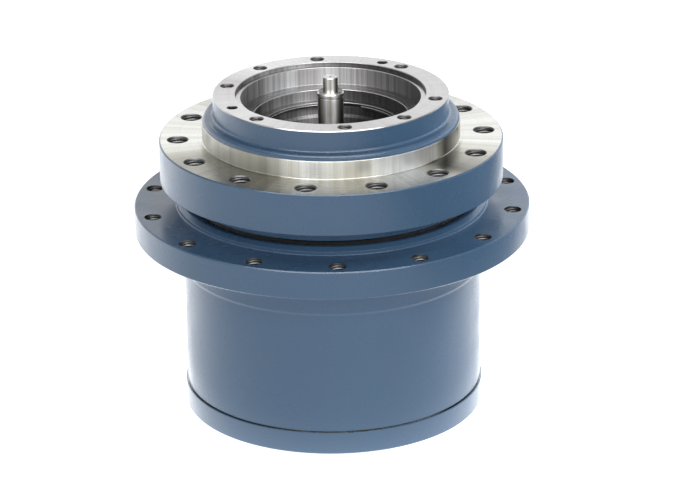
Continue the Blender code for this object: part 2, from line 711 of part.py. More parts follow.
def make_hub(hub):
    housing = turned("hub_housing", hub_profile(), PAINT, hub)
    sprocket_circle = FLANGE_OUTER - SPROCKET_HOLE_INSET
    sprocket_holes = []
    for angle in evenly(SPROCKET_HOLES, from_front(SPROCKET_FIRST_HOLE)):
        x, y = on_circle(sprocket_circle, angle).xy
        sprocket_holes.append((x, y, SPROCKET_HOLE_RADIUS, FLANGE_BOTTOM - OVERRUN, FLANGE_TOP + OVERRUN))
    combine(housing, helper("sprocket_holes", rounds(sprocket_holes, HOLE_STEPS)))
    joint = COVER_THICKNESS + FIT_GAP
    tapped = [(p.x, p.y, COVER_SCREW_RADIUS + FIT_GAP, joint - OVERRUN, joint + COVER_SCREW_GRIP + OVERRUN)
              for p in cover_screw_places()]
    combine(housing, helper("cover_screw_threads", rounds(tapped, THREAD_STEPS)))


def make_ring_gear(hub):
    teeth = gear_outline(RING_TEETH, RING_FLANK_STEPS, -1)
    outside = circle_outline(RING_OUTER, ROUND_STEPS)
    extruded("ring_gear", [outside, teeth], RING_BOTTOM, RING_TOP, GEAR_STEEL, hub)


def cover_profile():
    groove_middle = COVER_THICKNESS + SPIGOT_HEIGHT / 2
    groove_top = groove_middle + O_RING_GROOVE_HEIGHT / 2
    groove_bottom = groove_middle - O_RING_GROOVE_HEIGHT / 2
    groove_root = HUB_BORE - O_RING_SECTION - 2 * FIT_GAP
    return [
        (0, COVER_FLOOR),
        (SPIGOT_OUTER - SPIGOT_WALL, COVER_FLOOR),
        (SPIGOT_OUTER - SPIGOT_WALL, SPIGOT_TOP),
        (SPIGOT_OUTER, SPIGOT_TOP),
        (SPIGOT_OUTER, groove_top),
        (groove_root, groove_top),
        (groove_root, groove_bottom),
        (SPIGOT_OUTER, groove_bottom),
        (SPIGOT_OUTER, COVER_THICKNESS),
        (HUB_OUTER + COVER_PROUD, COVER_THICKNESS),
        (HUB_OUTER + COVER_PROUD, COVER_EDGE),
        (HUB_OUTER + COVER_PROUD - COVER_EDGE, 0),
        (0, 0),
    ]


def make_cover(hub):
    cover = turned("end_cover", cover_profile(), PAINT, hub, ring=False)
    sinks = []
    shanks = []
    for p in cover_screw_places():
        sinks.append((p.x, p.y, COVER_SCREW_HEAD_RADIUS + FIT_GAP, -OVERRUN, screw_seat_top()))
        shanks.append((p.x, p.y, COVER_SCREW_RADIUS + FIT_GAP, -OVERRUN, COVER_THICKNESS + OVERRUN))
    plug_seat = COVER_SCREW_SUNK + COVER_PLUG_HEAD_HEIGHT + FIT_GAP
    for p in cover_plug_places():
        sinks.append((p.x, p.y, COVER_PLUG_HEAD_RADIUS + FIT_GAP, -OVERRUN, plug_seat))
        shanks.append((p.x, p.y, COVER_PLUG_RADIUS + FIT_GAP, -OVERRUN, COVER_FLOOR + OVERRUN))
    combine(cover, helper("cover_counterbores", rounds(sinks, SCREW_STEPS)))
    combine(cover, helper("cover_shank_holes", rounds(shanks, SCREW_STEPS)))


def headed_screw(name, place, head_radius, head_bottom, head_top, radius, top, material, parent):
    """A screw or plug with its head down, as a turned piece."""
    profile = [(0, top), (radius, top), (radius, head_top), (head_radius, head_top),
               (head_radius, head_bottom), (0, head_bottom)]
    turned(name, profile, material, parent, place, SCREW_STEPS, ring=False)


def make_cover_fittings(hub):
    for number, place in enumerate(cover_screw_places(), 1):
        headed_screw(f"cover_screw_{number:02d}", place, COVER_SCREW_HEAD_RADIUS, COVER_SCREW_SUNK,
                     COVER_SCREW_SUNK + COVER_SCREW_HEAD_HEIGHT, COVER_SCREW_RADIUS,
                     COVER_THICKNESS + COVER_SCREW_GRIP, BLACK_STEEL, hub)
    for number, place in enumerate(cover_plug_places(), 1):
        headed_screw(f"cover_plug_{number}", place, COVER_PLUG_HEAD_RADIUS, COVER_SCREW_SUNK,
                     COVER_SCREW_SUNK + COVER_PLUG_HEAD_HEIGHT, COVER_PLUG_RADIUS,
                     COVER_SCREW_SUNK + COVER_PLUG_REACH, BLACK_STEEL, hub)
    radius = O_RING_SECTION / 2
    centre = HUB_BORE - FIT_GAP - radius
    middle = COVER_THICKNESS + SPIGOT_HEIGHT / 2
    ring = [(centre + radius * cos(a), middle - radius * sin(a)) for a in evenly(O_RING_STEPS)]
    turned("cover_o_ring", ring, RUBBER, hub)
    pad_top = PAD_BOTTOM + THRUST_PAD_THICKNESS
    pad = [(0, pad_top), (THRUST_PAD_RADIUS, pad_top), (THRUST_PAD_RADIUS, PAD_BOTTOM), (0, PAD_BOTTOM)]
    turned("thrust_pad", pad, BRONZE, hub, steps=SMALL_STEPS, ring=False)


# Gear stages

def make_input_shaft(shaft):
    """The shaft from the motor, with the first sun gear's teeth cut on its lower end."""
    stub_foot = SHAFT_TOP - STUB_LENGTH
    collar_top = stub_foot - SHAFT_SHOULDER_HEIGHT
    profile = [
        (0, SHAFT_TOP),
        (STUB_RADIUS - STUB_CHAMFER, SHAFT_TOP),
        (STUB_RADIUS, SHAFT_TOP - STUB_CHAMFER),
        (STUB_RADIUS, stub_foot),
        (SHAFT_COLLAR_RADIUS, collar_top),
        (SHAFT_COLLAR_RADIUS, collar_top - SHAFT_COLLAR_HEIGHT),
        (SHAFT_RADIUS, collar_top - SHAFT_COLLAR_HEIGHT),
        (SHAFT_RADIUS, FIRST_POCKET_TOP - RUN_GAP),
        (SHAFT_FOOT_RADIUS, FIRST_POCKET_BOTTOM + RUN_GAP),
        (SHAFT_FOOT_RADIUS, SHAFT_BOTTOM),
        (0, SHAFT_BOTTOM),
    ]
    body = turned("input_shaft", profile, GEAR_STEEL, shaft, steps=SMALL_STEPS, ring=False)
    turn = FIRST_PLANET_ANGLE + (pi / FIRST_SUN_TEETH if FIRST_PLANET_TEETH % 2 == 0 else 0)
    teeth = outline_block(gear_outline(FIRST_SUN_TEETH, FLANK_STEPS), FIRST_POCKET_BOTTOM + RUN_GAP,
                          FIRST_POCKET_TOP - RUN_GAP)
    bmesh.ops.rotate(teeth, verts=teeth.verts, matrix=Matrix.Rotation(turn, 3, "Z"))
    combine(body, helper("first_sun_teeth", teeth), "UNION")


def second_sun_turn():
    return SECOND_PLANET_ANGLE + (pi / SECOND_SUN_TEETH if SECOND_PLANET_TEETH % 2 == 0 else 0)


def make_second_sun(carrier):
    bore = circle_outline(hole_radius(SHAFT_RADIUS + SHAFT_BORE_GAP, SMALL_STEPS), SMALL_STEPS)
    extruded("second_sun_gear", [gear_outline(SECOND_SUN_TEETH, FLANK_STEPS), bore],
             FIRST_POCKET_TOP + RUN_GAP, SECOND_POCKET_TOP - RUN_GAP, GEAR_STEEL, carrier,
             turn=second_sun_turn())


def tip_radius(teeth):
    return MODULE * (teeth / 2 + ADDENDUM_SHARE)


def carrier_cuts(centres, first_angle, planet_teeth, pocket, pin_radius, span):
    """The planets' pockets and the holes for their pins, as one list of rods for each."""
    pockets = []
    pins = []
    for angle in evenly(PLANETS_PER_STAGE, first_angle):
        x, y = on_circle(centres, angle).xy
        pockets.append((x, y, tip_radius(planet_teeth) + TOOTH_TIP_GAP, *pocket))
        pins.append((x, y, pin_radius + FIT_GAP, span[0] - OVERRUN, span[1] + OVERRUN))
    return pockets, pins


def make_first_carrier(carrier):
    profile = [(CARRIER_OUTER, FIRST_TOP), (CARRIER_OUTER, FIRST_BOTTOM)]
    centre_hole = tip_radius(FIRST_SUN_TEETH) + TOOTH_TIP_GAP
    profile += [(centre_hole, FIRST_BOTTOM), (centre_hole, FIRST_POCKET_TOP)]
    shaft_bore = SHAFT_RADIUS + SHAFT_BORE_GAP
    profile += [(shaft_bore, FIRST_POCKET_TOP), (shaft_bore, FIRST_TOP)]
    body = turned("first_carrier", profile, GEAR_STEEL, carrier)
    pockets, pins = carrier_cuts(FIRST_CENTRES, FIRST_PLANET_ANGLE, FIRST_PLANET_TEETH,
                                 (FIRST_POCKET_BOTTOM, FIRST_POCKET_TOP), FIRST_PIN_RADIUS,
                                 (FIRST_BOTTOM, FIRST_TOP))
    combine(body, helper("first_pockets", rounds(pockets, POCKET_STEPS)))
    combine(body, helper("first_pin_holes", rounds(pins, SMALL_STEPS)))
    root = MODULE * (SECOND_SUN_TEETH / 2 - DEDENDUM_SHARE)
    share = (root + FIT_GAP) / root
    spline = [(x * share, y * share) for x, y in gear_outline(SECOND_SUN_TEETH, FLANK_STEPS)]
    socket = outline_block(spline, FIRST_POCKET_TOP - OVERRUN, FIRST_TOP + OVERRUN)
    bmesh.ops.rotate(socket, verts=socket.verts, matrix=Matrix.Rotation(second_sun_turn(), 3, "Z"))
    combine(body, helper("second_sun_spline", socket))


def carrier_screw_places():
    circle = (JOURNAL + SPINDLE_BORE) / 2
    half_step = pi / PLANETS_PER_STAGE
    return [on_circle(circle, angle) for angle in evenly(PLANETS_PER_STAGE, SECOND_PLANET_ANGLE + half_step)]


def make_second_carrier():
    """The fixed carrier of the second stage, spigoted into the spindle and screwed to its end."""
    spigot = SPINDLE_BORE - FIT_GAP
    centre_hole = tip_radius(SECOND_SUN_TEETH) + TOOTH_TIP_GAP
    profile = [
        (spigot, SECOND_TOP + CARRIER_SPIGOT_HEIGHT),
        (spigot, SECOND_TOP),
        (CARRIER_OUTER, SECOND_TOP),
        (CARRIER_OUTER, SECOND_BOTTOM),
        (centre_hole, SECOND_BOTTOM),
        (centre_hole, SECOND_TOP + CARRIER_SPIGOT_HEIGHT),
    ]
    body = turned("second_carrier", profile, GEAR_STEEL)
    pockets, pins = carrier_cuts(SECOND_CENTRES, SECOND_PLANET_ANGLE, SECOND_PLANET_TEETH,
                                 (SECOND_POCKET_BOTTOM, SECOND_POCKET_TOP), SECOND_PIN_RADIUS,
                                 (SECOND_BOTTOM, SECOND_TOP))
    combine(body, helper("second_pockets", rounds(pockets, POCKET_STEPS)))
    combine(body, helper("second_pin_holes", rounds(pins, SMALL_STEPS)))
    head_top = SECOND_BOTTOM + CARRIER_SCREW_SUNK + CARRIER_SCREW_HEAD_HEIGHT
    sinks = [(p.x, p.y, CARRIER_SCREW_HEAD_RADIUS + FIT_GAP, SECOND_BOTTOM - OVERRUN, head_top + FIT_GAP)
             for p in carrier_screw_places()]
    shanks = [(p.x, p.y, CARRIER_SCREW_RADIUS + FIT_GAP, SECOND_BOTTOM - OVERRUN, SECOND_TOP + OVERRUN)
              for p in carrier_screw_places()]
    combine(body, helper("carrier_counterbores", rounds(sinks, SCREW_STEPS)))
    combine(body, helper("carrier_shank_holes", rounds(shanks, SCREW_STEPS)))
    for number, place in enumerate(carrier_screw_places(), 1):
        headed_screw(f"carrier_screw_{number}", place, CARRIER_SCREW_HEAD_RADIUS,
                     SECOND_BOTTOM + CARRIER_SCREW_SUNK, head_top, CARRIER_SCREW_RADIUS,
                     SPINDLE_END + CARRIER_SCREW_GRIP, BLACK_STEEL, None)


def make_planets(stage, carrier, centres, first_angle, teeth, pocket, span, pin_radius, bush_wall):
    """One stage's planets: each a gear on a bush, which turn together on a pin held by the carrier."""
    bottom = pocket[0] + RUN_GAP
    top = pocket[1] - RUN_GAP
    bush_bore = hole_radius(pin_radius + RUN_GAP, SMALL_STEPS)
    bush_outer = bush_bore + bush_wall
    gear = gear_outline(teeth, FLANK_STEPS)
    gear_bore = circle_outline(bush_outer + FIT_GAP, SMALL_STEPS)
    for number, angle in enumerate(evenly(PLANETS_PER_STAGE, first_angle), 1):
        place = on_circle(centres, angle)
        axis = turning_point(f"{stage}_planet_{number}_axis", carrier, place)
        extruded(f"{stage}_planet_gear_{number}", [gear, gear_bore], bottom, top, GEAR_STEEL, axis,
                 turn=angle)
        bush = [(bush_outer, top), (bush_outer, bottom), (bush_bore, bottom), (bush_bore, top)]
        obj = turned(f"{stage}_planet_bush_{number}", bush, BRONZE, axis, steps=SMALL_STEPS)
        obj.rotation_euler.z = angle
        ends = (span[0] + PIN_INSET, span[1] - PIN_INSET)
        pin = [(0, ends[1]), (pin_radius, ends[1]), (pin_radius, ends[0]), (0, ends[0])]
        turned(f"{stage}_planet_pin_{number}", pin, BEARING_STEEL, carrier, place, SMALL_STEPS, ring=False)


def main():
    hub = turning_point("hub_axis")
    shaft = turning_point("input_shaft_axis")
    carrier = turning_point("first_carrier_axis")
    make_spindle()
    make_bore_ring()
    make_lock_nut()
    make_bearing("upper", UPPER_BEARING, BEARING_TOP, hub, None, turning_point("upper_rollers_axis"))
    make_bearing("lower", RIB_BOTTOM, LOWER_BEARING, hub, None, turning_point("lower_rollers_axis"))
    make_seal("upper", 1, None)
    make_seal("lower", -1, hub)
    make_hub(hub)
    make_ring_gear(hub)
    make_cover(hub)
    make_cover_fittings(hub)
    make_input_shaft(shaft)
    make_second_sun(carrier)
    make_first_carrier(carrier)
    make_planets("first", carrier, FIRST_CENTRES, FIRST_PLANET_ANGLE, FIRST_PLANET_TEETH,
                 (FIRST_POCKET_BOTTOM, FIRST_POCKET_TOP), (FIRST_BOTTOM, FIRST_TOP),
                 FIRST_PIN_RADIUS, FIRST_BUSH_WALL)
    make_second_carrier()
    make_planets("second", None, SECOND_CENTRES, SECOND_PLANET_ANGLE, SECOND_PLANET_TEETH,
                 (SECOND_POCKET_BOTTOM, SECOND_POCKET_TOP), (SECOND_BOTTOM, SECOND_TOP),
                 SECOND_PIN_RADIUS, SECOND_BUSH_WALL)


main()
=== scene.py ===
"""Looks of the excavator final drive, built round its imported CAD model.

The file is laid out as a Blender add-on: sizes and colours are properties, and each piece or group of
like pieces has an operator. All lengths are in metres, and +Z runs up the drive's axis.
"""

from math import acos, ceil, cos, pi, radians, sin, tan

import bmesh
import bpy
from bpy.props import FloatProperty, FloatVectorProperty, IntProperty, PointerProperty
from bpy.types import Operator, Panel, PropertyGroup
from mathutils import Matrix, Vector


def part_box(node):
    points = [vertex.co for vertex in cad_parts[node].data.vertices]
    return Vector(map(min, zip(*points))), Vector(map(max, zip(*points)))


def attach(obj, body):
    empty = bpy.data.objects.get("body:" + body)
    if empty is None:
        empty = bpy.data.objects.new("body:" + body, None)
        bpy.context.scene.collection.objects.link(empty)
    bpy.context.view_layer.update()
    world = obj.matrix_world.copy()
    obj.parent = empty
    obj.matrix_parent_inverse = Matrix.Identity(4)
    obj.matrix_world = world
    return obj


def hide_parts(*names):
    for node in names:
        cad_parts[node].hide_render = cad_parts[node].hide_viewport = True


bl_info = {
    "name": "Final Drive Looks",
    "version": (1, 0, 0),
    "blender": (4, 5, 0),
    "location": "3D View > Sidebar > Final Drive",
    "description": "Builds the finished surfaces of an excavator final drive round its CAD model",
    "category": "Object",
}

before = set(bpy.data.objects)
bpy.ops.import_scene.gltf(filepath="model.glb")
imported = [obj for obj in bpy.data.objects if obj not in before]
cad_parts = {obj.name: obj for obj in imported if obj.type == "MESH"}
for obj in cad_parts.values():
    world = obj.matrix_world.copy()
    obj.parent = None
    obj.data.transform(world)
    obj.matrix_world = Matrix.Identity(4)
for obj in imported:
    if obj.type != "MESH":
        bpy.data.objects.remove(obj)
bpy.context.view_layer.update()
SPINDLE_LOW, SPINDLE_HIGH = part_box("spindle_housing")
HUB_LOW, HUB_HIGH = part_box("hub_housing")
COVER_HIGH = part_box("end_cover")[1]
SHAFT_LOW, SHAFT_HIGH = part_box("input_shaft")
BORE_RING_LOW, BORE_RING_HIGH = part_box("bore_retaining_ring")
SCREW_LOW, SCREW_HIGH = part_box("cover_screw_01")
PLUG_LOW, PLUG_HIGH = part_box("cover_plug_1")
SCREW_HEAD_RADIUS = (SCREW_HIGH.x - SCREW_LOW.x) / 2
PLUG_HEAD_RADIUS = (PLUG_HIGH.x - PLUG_LOW.x) / 2

# Finishes of a housing, in the order of its material slots
# The last finish is the holes' dark steel, whose darkness is painted shade
PAINT, TURNED, PILOT, FACED, BORED, DEEP, PAINTED_HOLE_SHADE = range(7)

# Gap between pieces that touch
FIT_GAP = 0.0003

# Radius at which outlines that reach the axis end
AXIS = 0.00001

# Steps of a rounded edge, of a drilled hole and of one turn of a thread
ARC_STEP = radians(12)
HOLE_STEPS = 40
COIL_STEPS = 28

# How far a cutter stands out of the mouth of its hole, and the slope of a drill's tip
OVERCUT = 0.002
DRILL_TIP = radians(30)


def length(name, description, default):
    return FloatProperty(name=name, description=description, default=default, min=0, unit="LENGTH")


def colour(name, description, default):
    return FloatVectorProperty(name=name, description=description, default=default, min=0, max=1,
                               size=3, subtype="COLOR")


def share(name, description, default):
    return FloatProperty(name=name, description=description, default=default, min=0, max=1,
                         subtype="FACTOR")


def brightness(name, description, default):
    return FloatProperty(name=name, description=description, default=default, min=0, max=10)


def watts(name, description, default):
    return FloatProperty(name=name, description=description, default=default, min=0, unit="POWER")


class FinalDriveSpindleSizes(PropertyGroup):
    neck_radius: length("Neck", "Radius of the motor neck's outer side", 0.1303)
    neck_fillet: length("Neck fillet", "Radius of the fillet at the neck's foot", 0.003)
    shoulder_radius: length("Shoulder ring", "Outer radius of the rounded ring under the neck", 0.1418)
    shoulder_top: length("Shoulder top", "Height of the shoulder ring's top", 0.337)
    shoulder_round: length("Shoulder rounding", "Radius of the shoulder ring's edge", 0.005)
    pilot_radius: length("Pilot", "Radius of the turned pilot", 0.1428)
    pilot_top: length("Pilot top", "Height of the pilot's top", 0.331)
    flange_top: length("Flange top", "Height of the frame flange's machined face", 0.3111)
    flange_bottom: length("Flange bottom", "Height of the frame flange's lower face", 0.2641)
    collar_radius: length("Collar", "Outer radius of the collar over the seal", 0.1625)
    collar_bottom: length("Collar bottom", "Height of the collar's lower end", 0.248)
    seal_bore: length("Seal bore", "Radius of the bore that holds the floating seal", 0.1557)
    seal_floor: length("Seal floor", "Height of the seal bore's floor", 0.2579)
    body_radius: length("Body", "Radius of the spindle over its bearings", 0.128)
    bearing_top: length("Bearing seat", "Height of the shoulder that the upper bearing stands on", 0.236)
    journal_radius: length("Journal", "Radius of the bearings' journal, clear of their faceted bores", 0.1092)
    bore_radius: length("Bore", "Radius of the spindle's bore", 0.076)
    ledge_radius: length("Inner ledge", "Radius of the wall over the bore's upper edge", 0.0854)
    ledge_top: length("Ledge height", "Height of the bore's upper edge", 0.323)
    rib_reach: length("Bore rib", "How far the bevelled rib stands into the bore", 0.003)
    rib_top: length("Bore rib top", "Height of the rib's upper edge", 0.3095)
    rib_height: length("Bore rib height", "Height of the rib with its bevels", 0.013)
    ring_overhang: length("Ring overhang", "How far the retaining ring stands into the bore", 0.0025)
    register_radius: length("Register", "Radius of the motor's register", 0.0995)
    register_bottom: length("Register bottom", "Height of the register's floor", 0.3368)
    lip_radius: length("Lip", "Radius of the shallow recess in the motor face", 0.1055)
    lip_bottom: length("Lip bottom", "Height of the recess's floor", 0.3566)
    frame_hole_radius: length("Frame hole", "Core radius of the frame flange's tapped holes", 0.011)
    frame_hole_circle: length("Frame hole circle", "Radius of the circle of those holes", 0.1697)
    frame_hole_depth: length("Frame hole depth", "Depth of those holes", 0.038)
    motor_hole_radius: length("Motor hole", "Core radius of the motor face's tapped holes", 0.007)
    motor_hole_circle: length("Motor hole circle", "Radius of the circle of those holes", 0.1175)
    motor_hole_depth: length("Motor hole depth", "Depth of those holes", 0.030)
    dowel_hole_radius: length("Dowel hole", "Radius of the two dowel holes", 0.0055)
    dowel_hole_depth: length("Dowel hole depth", "Depth of the dowel holes", 0.020)


class FinalDriveHubSizes(PropertyGroup):
    barrel_radius: length("Barrel", "Outer radius of the hub's barrel", 0.1658)
    flange_top: length("Flange top", "Height of the sprocket flange's upper face", 0.2354)
    flange_bottom: length("Flange bottom", "Height of the sprocket flange's lower face", 0.204)
    root_reach: length("Root reach", "How far the root under the flange stands out", 0.0142)
    root_height: length("Root height", "Height of the root under the flange", 0.036)
    foot_groove: length("Foot groove", "Height and depth of the groove over the end cover", 0.0009)
    boss_radius: length("Boss", "Outer radius of the boss round the seal", 0.173)
    boss_inner: length("Boss mouth", "Radius of the flared mouth over the seal", 0.164)
    boss_bevel: length("Boss bevel", "Height of the boss's bevelled edge", 0.004)
    seal_bore: length("Seal bore", "Radius of the bore that holds the floating seal", 0.1557)
    seal_floor: length("Seal floor", "Height of the seal bore's floor", 0.2341)
    cup_seat: length("Cup seat", "Radius of the bearing cups' seats", 0.1453)
    rib_reach: length("Rib", "How far the rib between the bearings stands in", 0.0073)
    rib_bottom: length("Rib bottom", "Height of the rib's lower side", 0.196)
    rib_top: length("Rib top", "Height of the rib's upper side", 0.208)
    ring_seat: length("Ring seat", "Radius of the ring gear's seat", 0.15005)
    ring_top: length("Ring seat top", "Height of the ring gear's seat", 0.1423)
    hole_radius: length("Sprocket hole", "Core radius of the sprocket flange's tapped holes", 0.0087)
    hole_circle: length("Sprocket hole circle", "Radius of the circle of those holes", 0.2035)
    screw_circle: length("Cover screw circle", "Radius of the circle of the cover's screws", 0.157925)
    cover_thickness: length("Cover", "Thickness of the end cover's rim", 0.0254)
    cover_floor: length("Cover floor", "Height of the end cover's inner face", 0.0215)
    spigot_radius: length("Spigot", "Outer radius of the end cover's spigot", 0.14975)
    spigot_wall: length("Spigot wall", "Thickness of the spigot", 0.0127)
    screw_seat: length("Screw seat", "Height of the seats of the cover's screws", 0.0091)
    screw_hole: length("Screw hole", "Radius of the holes over those seats", 0.0045)
    plug_circle: length("Plug circle", "Distance of the oil plugs from the axis", 0.08805)
    plug_seat: length("Plug seat", "Height of the seats of the oil plugs", 0.0071)
    plug_hole: length("Plug hole", "Radius of the holes over those seats", 0.0125)
    screws: IntProperty(name="Cover screws", description="Number of screws in the end cover", default=12,
                        min=3)


class FinalDriveShaftSizes(PropertyGroup):
    stub_radius: length("Stub", "Radius of the stub on top of the shaft", 0.00815)
    stub_length: length("Stub length", "How far the stub stands over the collar", 0.0168)
    collar_radius: length("Collar", "Radius of the collar under the stub", 0.0148)
    collar_height: length("Collar height", "Height of the collar with its rim", 0.0044)
    collar_rim: length("Collar rim", "Width of the bevelled rim round the collar", 0.0012)
    groove: length("Groove", "Height and depth of the groove under the collar", 0.0018)
    upper_radius: length("Upper shaft", "Radius of the shaft under the collar", 0.0142)
    lower_radius: length("Lower shaft", "Radius of the shaft under its step", 0.0132)
    step_height: length("Step", "Height of the step between the two", 0.29)
    gear_top: length("Sun gear top", "Height of the sun gear's upper side", 0.0635)
    gear_bottom: length("Sun gear bottom", "Height of the sun gear's lower side", 0.0355)
    end_radius: length("Shaft end", "Radius of the shaft under the sun gear", 0.012)
    module: length("Module", "Pitch diameter of the sun gear over its number of teeth", 0.0046)
    teeth: IntProperty(name="Sun gear teeth", description="Number of the sun gear's teeth", default=12, min=6)


class FinalDriveFinish(PropertyGroup):
    paint: colour("Paint", "Colour of the blue-grey paint", (0.066, 0.142, 0.253))
    paint_roughness: share("Paint roughness", "Roughness of the paint", 0.27)
    steel: colour("Machined steel", "Colour of the turned faces", (0.77, 0.77, 0.77))
    steel_roughness: share("Steel roughness", "Roughness of the turned faces", 0.24)
    gear: colour("Gear steel", "Colour of the ground gear steel", (0.42, 0.42, 0.43))
    bearing: colour("Bearing steel", "Colour of the bearings and pins", (0.68, 0.69, 0.70))
    oxide: colour("Black oxide", "Colour of the screws and plugs", (0.032, 0.032, 0.036))
    bronze: colour("Bronze", "Colour of the bushes and the thrust pad", (0.58, 0.37, 0.17))
    rubber: colour("Rubber", "Colour of the seals", (0.02, 0.02, 0.021))


class FinalDriveStudio(PropertyGroup):
    elevation: FloatProperty(name="Elevation", description="Camera's height angle over the floor",
                             default=radians(21.635), subtype="ANGLE")
    roll: FloatProperty(name="Roll", description="Camera's turn about its own axis",
                        default=radians(0.612), subtype="ANGLE")
    distance: length("Distance", "From the camera to the point that it looks at", 3.5564)
    lens: FloatProperty(name="Lens", description="Focal length in millimetres", default=162.9, min=1,
                        subtype="DISTANCE_CAMERA")
    aim: FloatVectorProperty(name="Aim", description="Point that the camera looks at",
                             default=(0.01957, 0.0, 0.17357), subtype="TRANSLATION")
    room: brightness("Room light", "Brightness of the walls as they light the drive", 0.72)
    floor: brightness("Floor light", "Brightness of the floor as it lights the drive", 1.45)
    gloss: brightness("Reflections", "Brightness of the walls in reflections, half the floor's", 1.65)
    behind: brightness("Back brightness", "How many times brighter the back of the floor is", 1.4)
    front: watts("Front lamp", "Power of the wide lamp over the camera", 10)
    soft: watts("Soft front lamp", "Power of that lamp's light which no piece mirrors", 5)
    key: watts("Key lamp", "Power of the lamp at the right behind the drive", 28)
    fill: watts("Fill lamp", "Power of the lamp at the left behind the drive", 9)
    edge: watts("Edge lamp", "Power of the lamp over the drive that shows in reflections only", 65)


# Painted light on each kind of turned face: how bright its colour is round the axis, standing in for the
# reflections, highlights and shade that fall on it there. Each stop is (degrees from the front towards +X,
# share)
EVEN_PAINTED_LIGHT = ((-180, 0.8), (180, 0.8))
TURNED_PAINTED_LIGHT = (
    (-80, 0.65), (-65, 0.25), (-25, 0.35), (-10, 0.65), (10, 0.45), (30, 0.75), (42, 0.7), (50, 0.1),
    (80, 0.65),
)
PILOT_PAINTED_LIGHT = (
    (-80, 0.45), (-65, 0.6), (-30, 0.4), (-12, 0.8), (8, 0.55), (28, 0.9), (52, 0.8), (60, 0.03),
    (80, 0.45),
)
FACED_PAINTED_LIGHT = (
    (-180, 0.6), (-135, 0.7), (-110, 0.4), (-50, 0.6), (10, 0.5), (60, 0.5), (110, 0.47), (180, 0.6),
)
BORED_PAINTED_LIGHT = (
    (-180, 0.7), (-160, 0.4), (-150, 0.95), (-120, 0.2), (100, 0.02), (140, 0.2), (155, 0.32),
    (170, 0.5), (180, 0.7),
)
DEEP_PAINTED_LIGHT = (
    (-180, 0.2), (-150, 0.5), (-130, 0.4), (-110, 0.05), (90, 0.02), (140, 0.06), (165, 0.08),
    (180, 0.2),
)
SHAFT_PAINTED_LIGHT = ((-60, 0.05), (-20, 0.9), (0, 0.4), (20, 1.0), (40, 0.25), (55, 0.05))


# Outlines and meshes

def from_front(angle):
    """The angle from +X of a place given from the front, -Y, towards +X."""
    return angle - pi / 2


def on_circle(radius, angle):
    return Vector((radius * cos(angle), radius * sin(angle), 0))


def evenly(count, first=0.0):
    return [first + 2 * pi * i / count for i in range(count)]


def rounded(corners, guard=0.0004):
    """Points (radius, height, finish) of a closed outline whose corners (radius, height, rounding,
    finish) are rounded. A guard point beside each arc keeps the flat next to it flat in shading."""
    points = []
    for i, (radius, height, rounding, finish) in enumerate(corners):
        if not rounding:
            points.append((radius, height, finish))
            continue
        corner = Vector((radius, height))
        before = Vector(corners[i - 1][:2]) - corner
        after = Vector(corners[(i + 1) % len(corners)][:2]) - corner
        half = before.angle(after) / 2
        run = rounding / tan(half)
        centre = corner + (before.normalized() + after.normalized()).normalized() * rounding / sin(half)
        start = corner + before.normalized() * run
        end = corner + after.normalized() * run
        if before.length > 2 * (run + guard):
            points.append((*(start + before.normalized() * guard), corners[i - 1][3]))
        steps = max(3, ceil((pi - 2 * half) / ARC_STEP))
        turn = (start - centre).angle_signed(end - centre)
        for k in range(steps + 1):
            arm = (start - centre).copy()
            arm.rotate(Matrix.Rotation(-turn * k / steps, 2))
            points.append((*(centre + arm), finish))
        if after.length > 2 * (run + guard):
            points.append((*(end + after.normalized() * guard), finish))
    return points


def turned_mesh(name, points, steps=192, angle=2 * pi, first=0.0):
    """A turned solid, whole or over an angle, from a closed outline of (radius, height, finish) points."""
    whole = abs(angle - 2 * pi) < 1e-6
    shape = bmesh.new()
    rings = []
    count = steps if whole else steps + 1
    for s in range(count):
        a = first + angle * s / steps
        rings.append([shape.verts.new((r * cos(a), r * sin(a), z)) for r, z, _ in points])
    for s in range(steps):
        near, far = rings[s], rings[(s + 1) % count]
        for i, (_, _, finish) in enumerate(points):
            j = (i + 1) % len(points)
            face = shape.faces.new((near[i], near[j], far[j], far[i]))
            face.material_index = finish
    if not whole:
        shape.faces.new(rings[0])
        shape.faces.new(rings[-1])
    bmesh.ops.remove_doubles(shape, verts=shape.verts, dist=1e-6)
    bmesh.ops.recalc_face_normals(shape, faces=shape.faces)
    return mesh_of(name, shape)


def mesh_of(name, shape):
    mesh = bpy.data.meshes.new(name)
    shape.to_mesh(mesh)
    shape.free()
    return mesh


def new_object(name, mesh, materials):
    obj = bpy.data.objects.new(name, mesh)
    bpy.context.scene.collection.objects.link(obj)
    for material in materials:
        obj.data.materials.append(material)
    return obj


def plain_mesh(obj):
    """Puts the object's evaluated shape in the place of its mesh and its modifiers."""
    graph = bpy.context.evaluated_depsgraph_get()
    mesh = bpy.data.meshes.new_from_object(obj.evaluated_get(graph))
    obj.modifiers.clear()
    mesh.name = obj.name
    obj.data = mesh


def cut(obj, cutter):
    """Takes the cutter out of the object and removes it. The cut faces get the cutter's finishes."""
    boolean = obj.modifiers.new("cut", "BOOLEAN")
    boolean.operation = "DIFFERENCE"
    boolean.solver = "EXACT"
    boolean.material_mode = "INDEX"
    boolean.object = cutter
    plain_mesh(obj)
    bpy.data.objects.remove(cutter)


def edges_by_angle(obj, angle=radians(24)):
    """Shades the object smooth, with sharp edges where its faces turn by more than the angle."""
    obj.data.shade_smooth()
    obj.data.set_sharp_from_angle(angle=angle)


def ride_on(obj, body, slot, *nodes):
    """Fixes a finished piece to its body, in the place of the CAD nodes that it stands for."""
    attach(obj, body)
    if nodes:
        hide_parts(*nodes)


def hole_rings(shape, x, y, outline):
    """Rings of new corners round a hole's axis, one for each (radius, height) of the outline."""
    return [[shape.verts.new((x + r * cos(a), y + r * sin(a), z)) for a in evenly(HOLE_STEPS)]
            for r, z in outline]


def holes_on_circle(circle, angles, radius, bottom, mouth, bevel):
    """Holes for drill, on a circle round the axis."""
    return [(*on_circle(circle, a)[:2], radius, bottom, mouth, bevel) for a in angles]


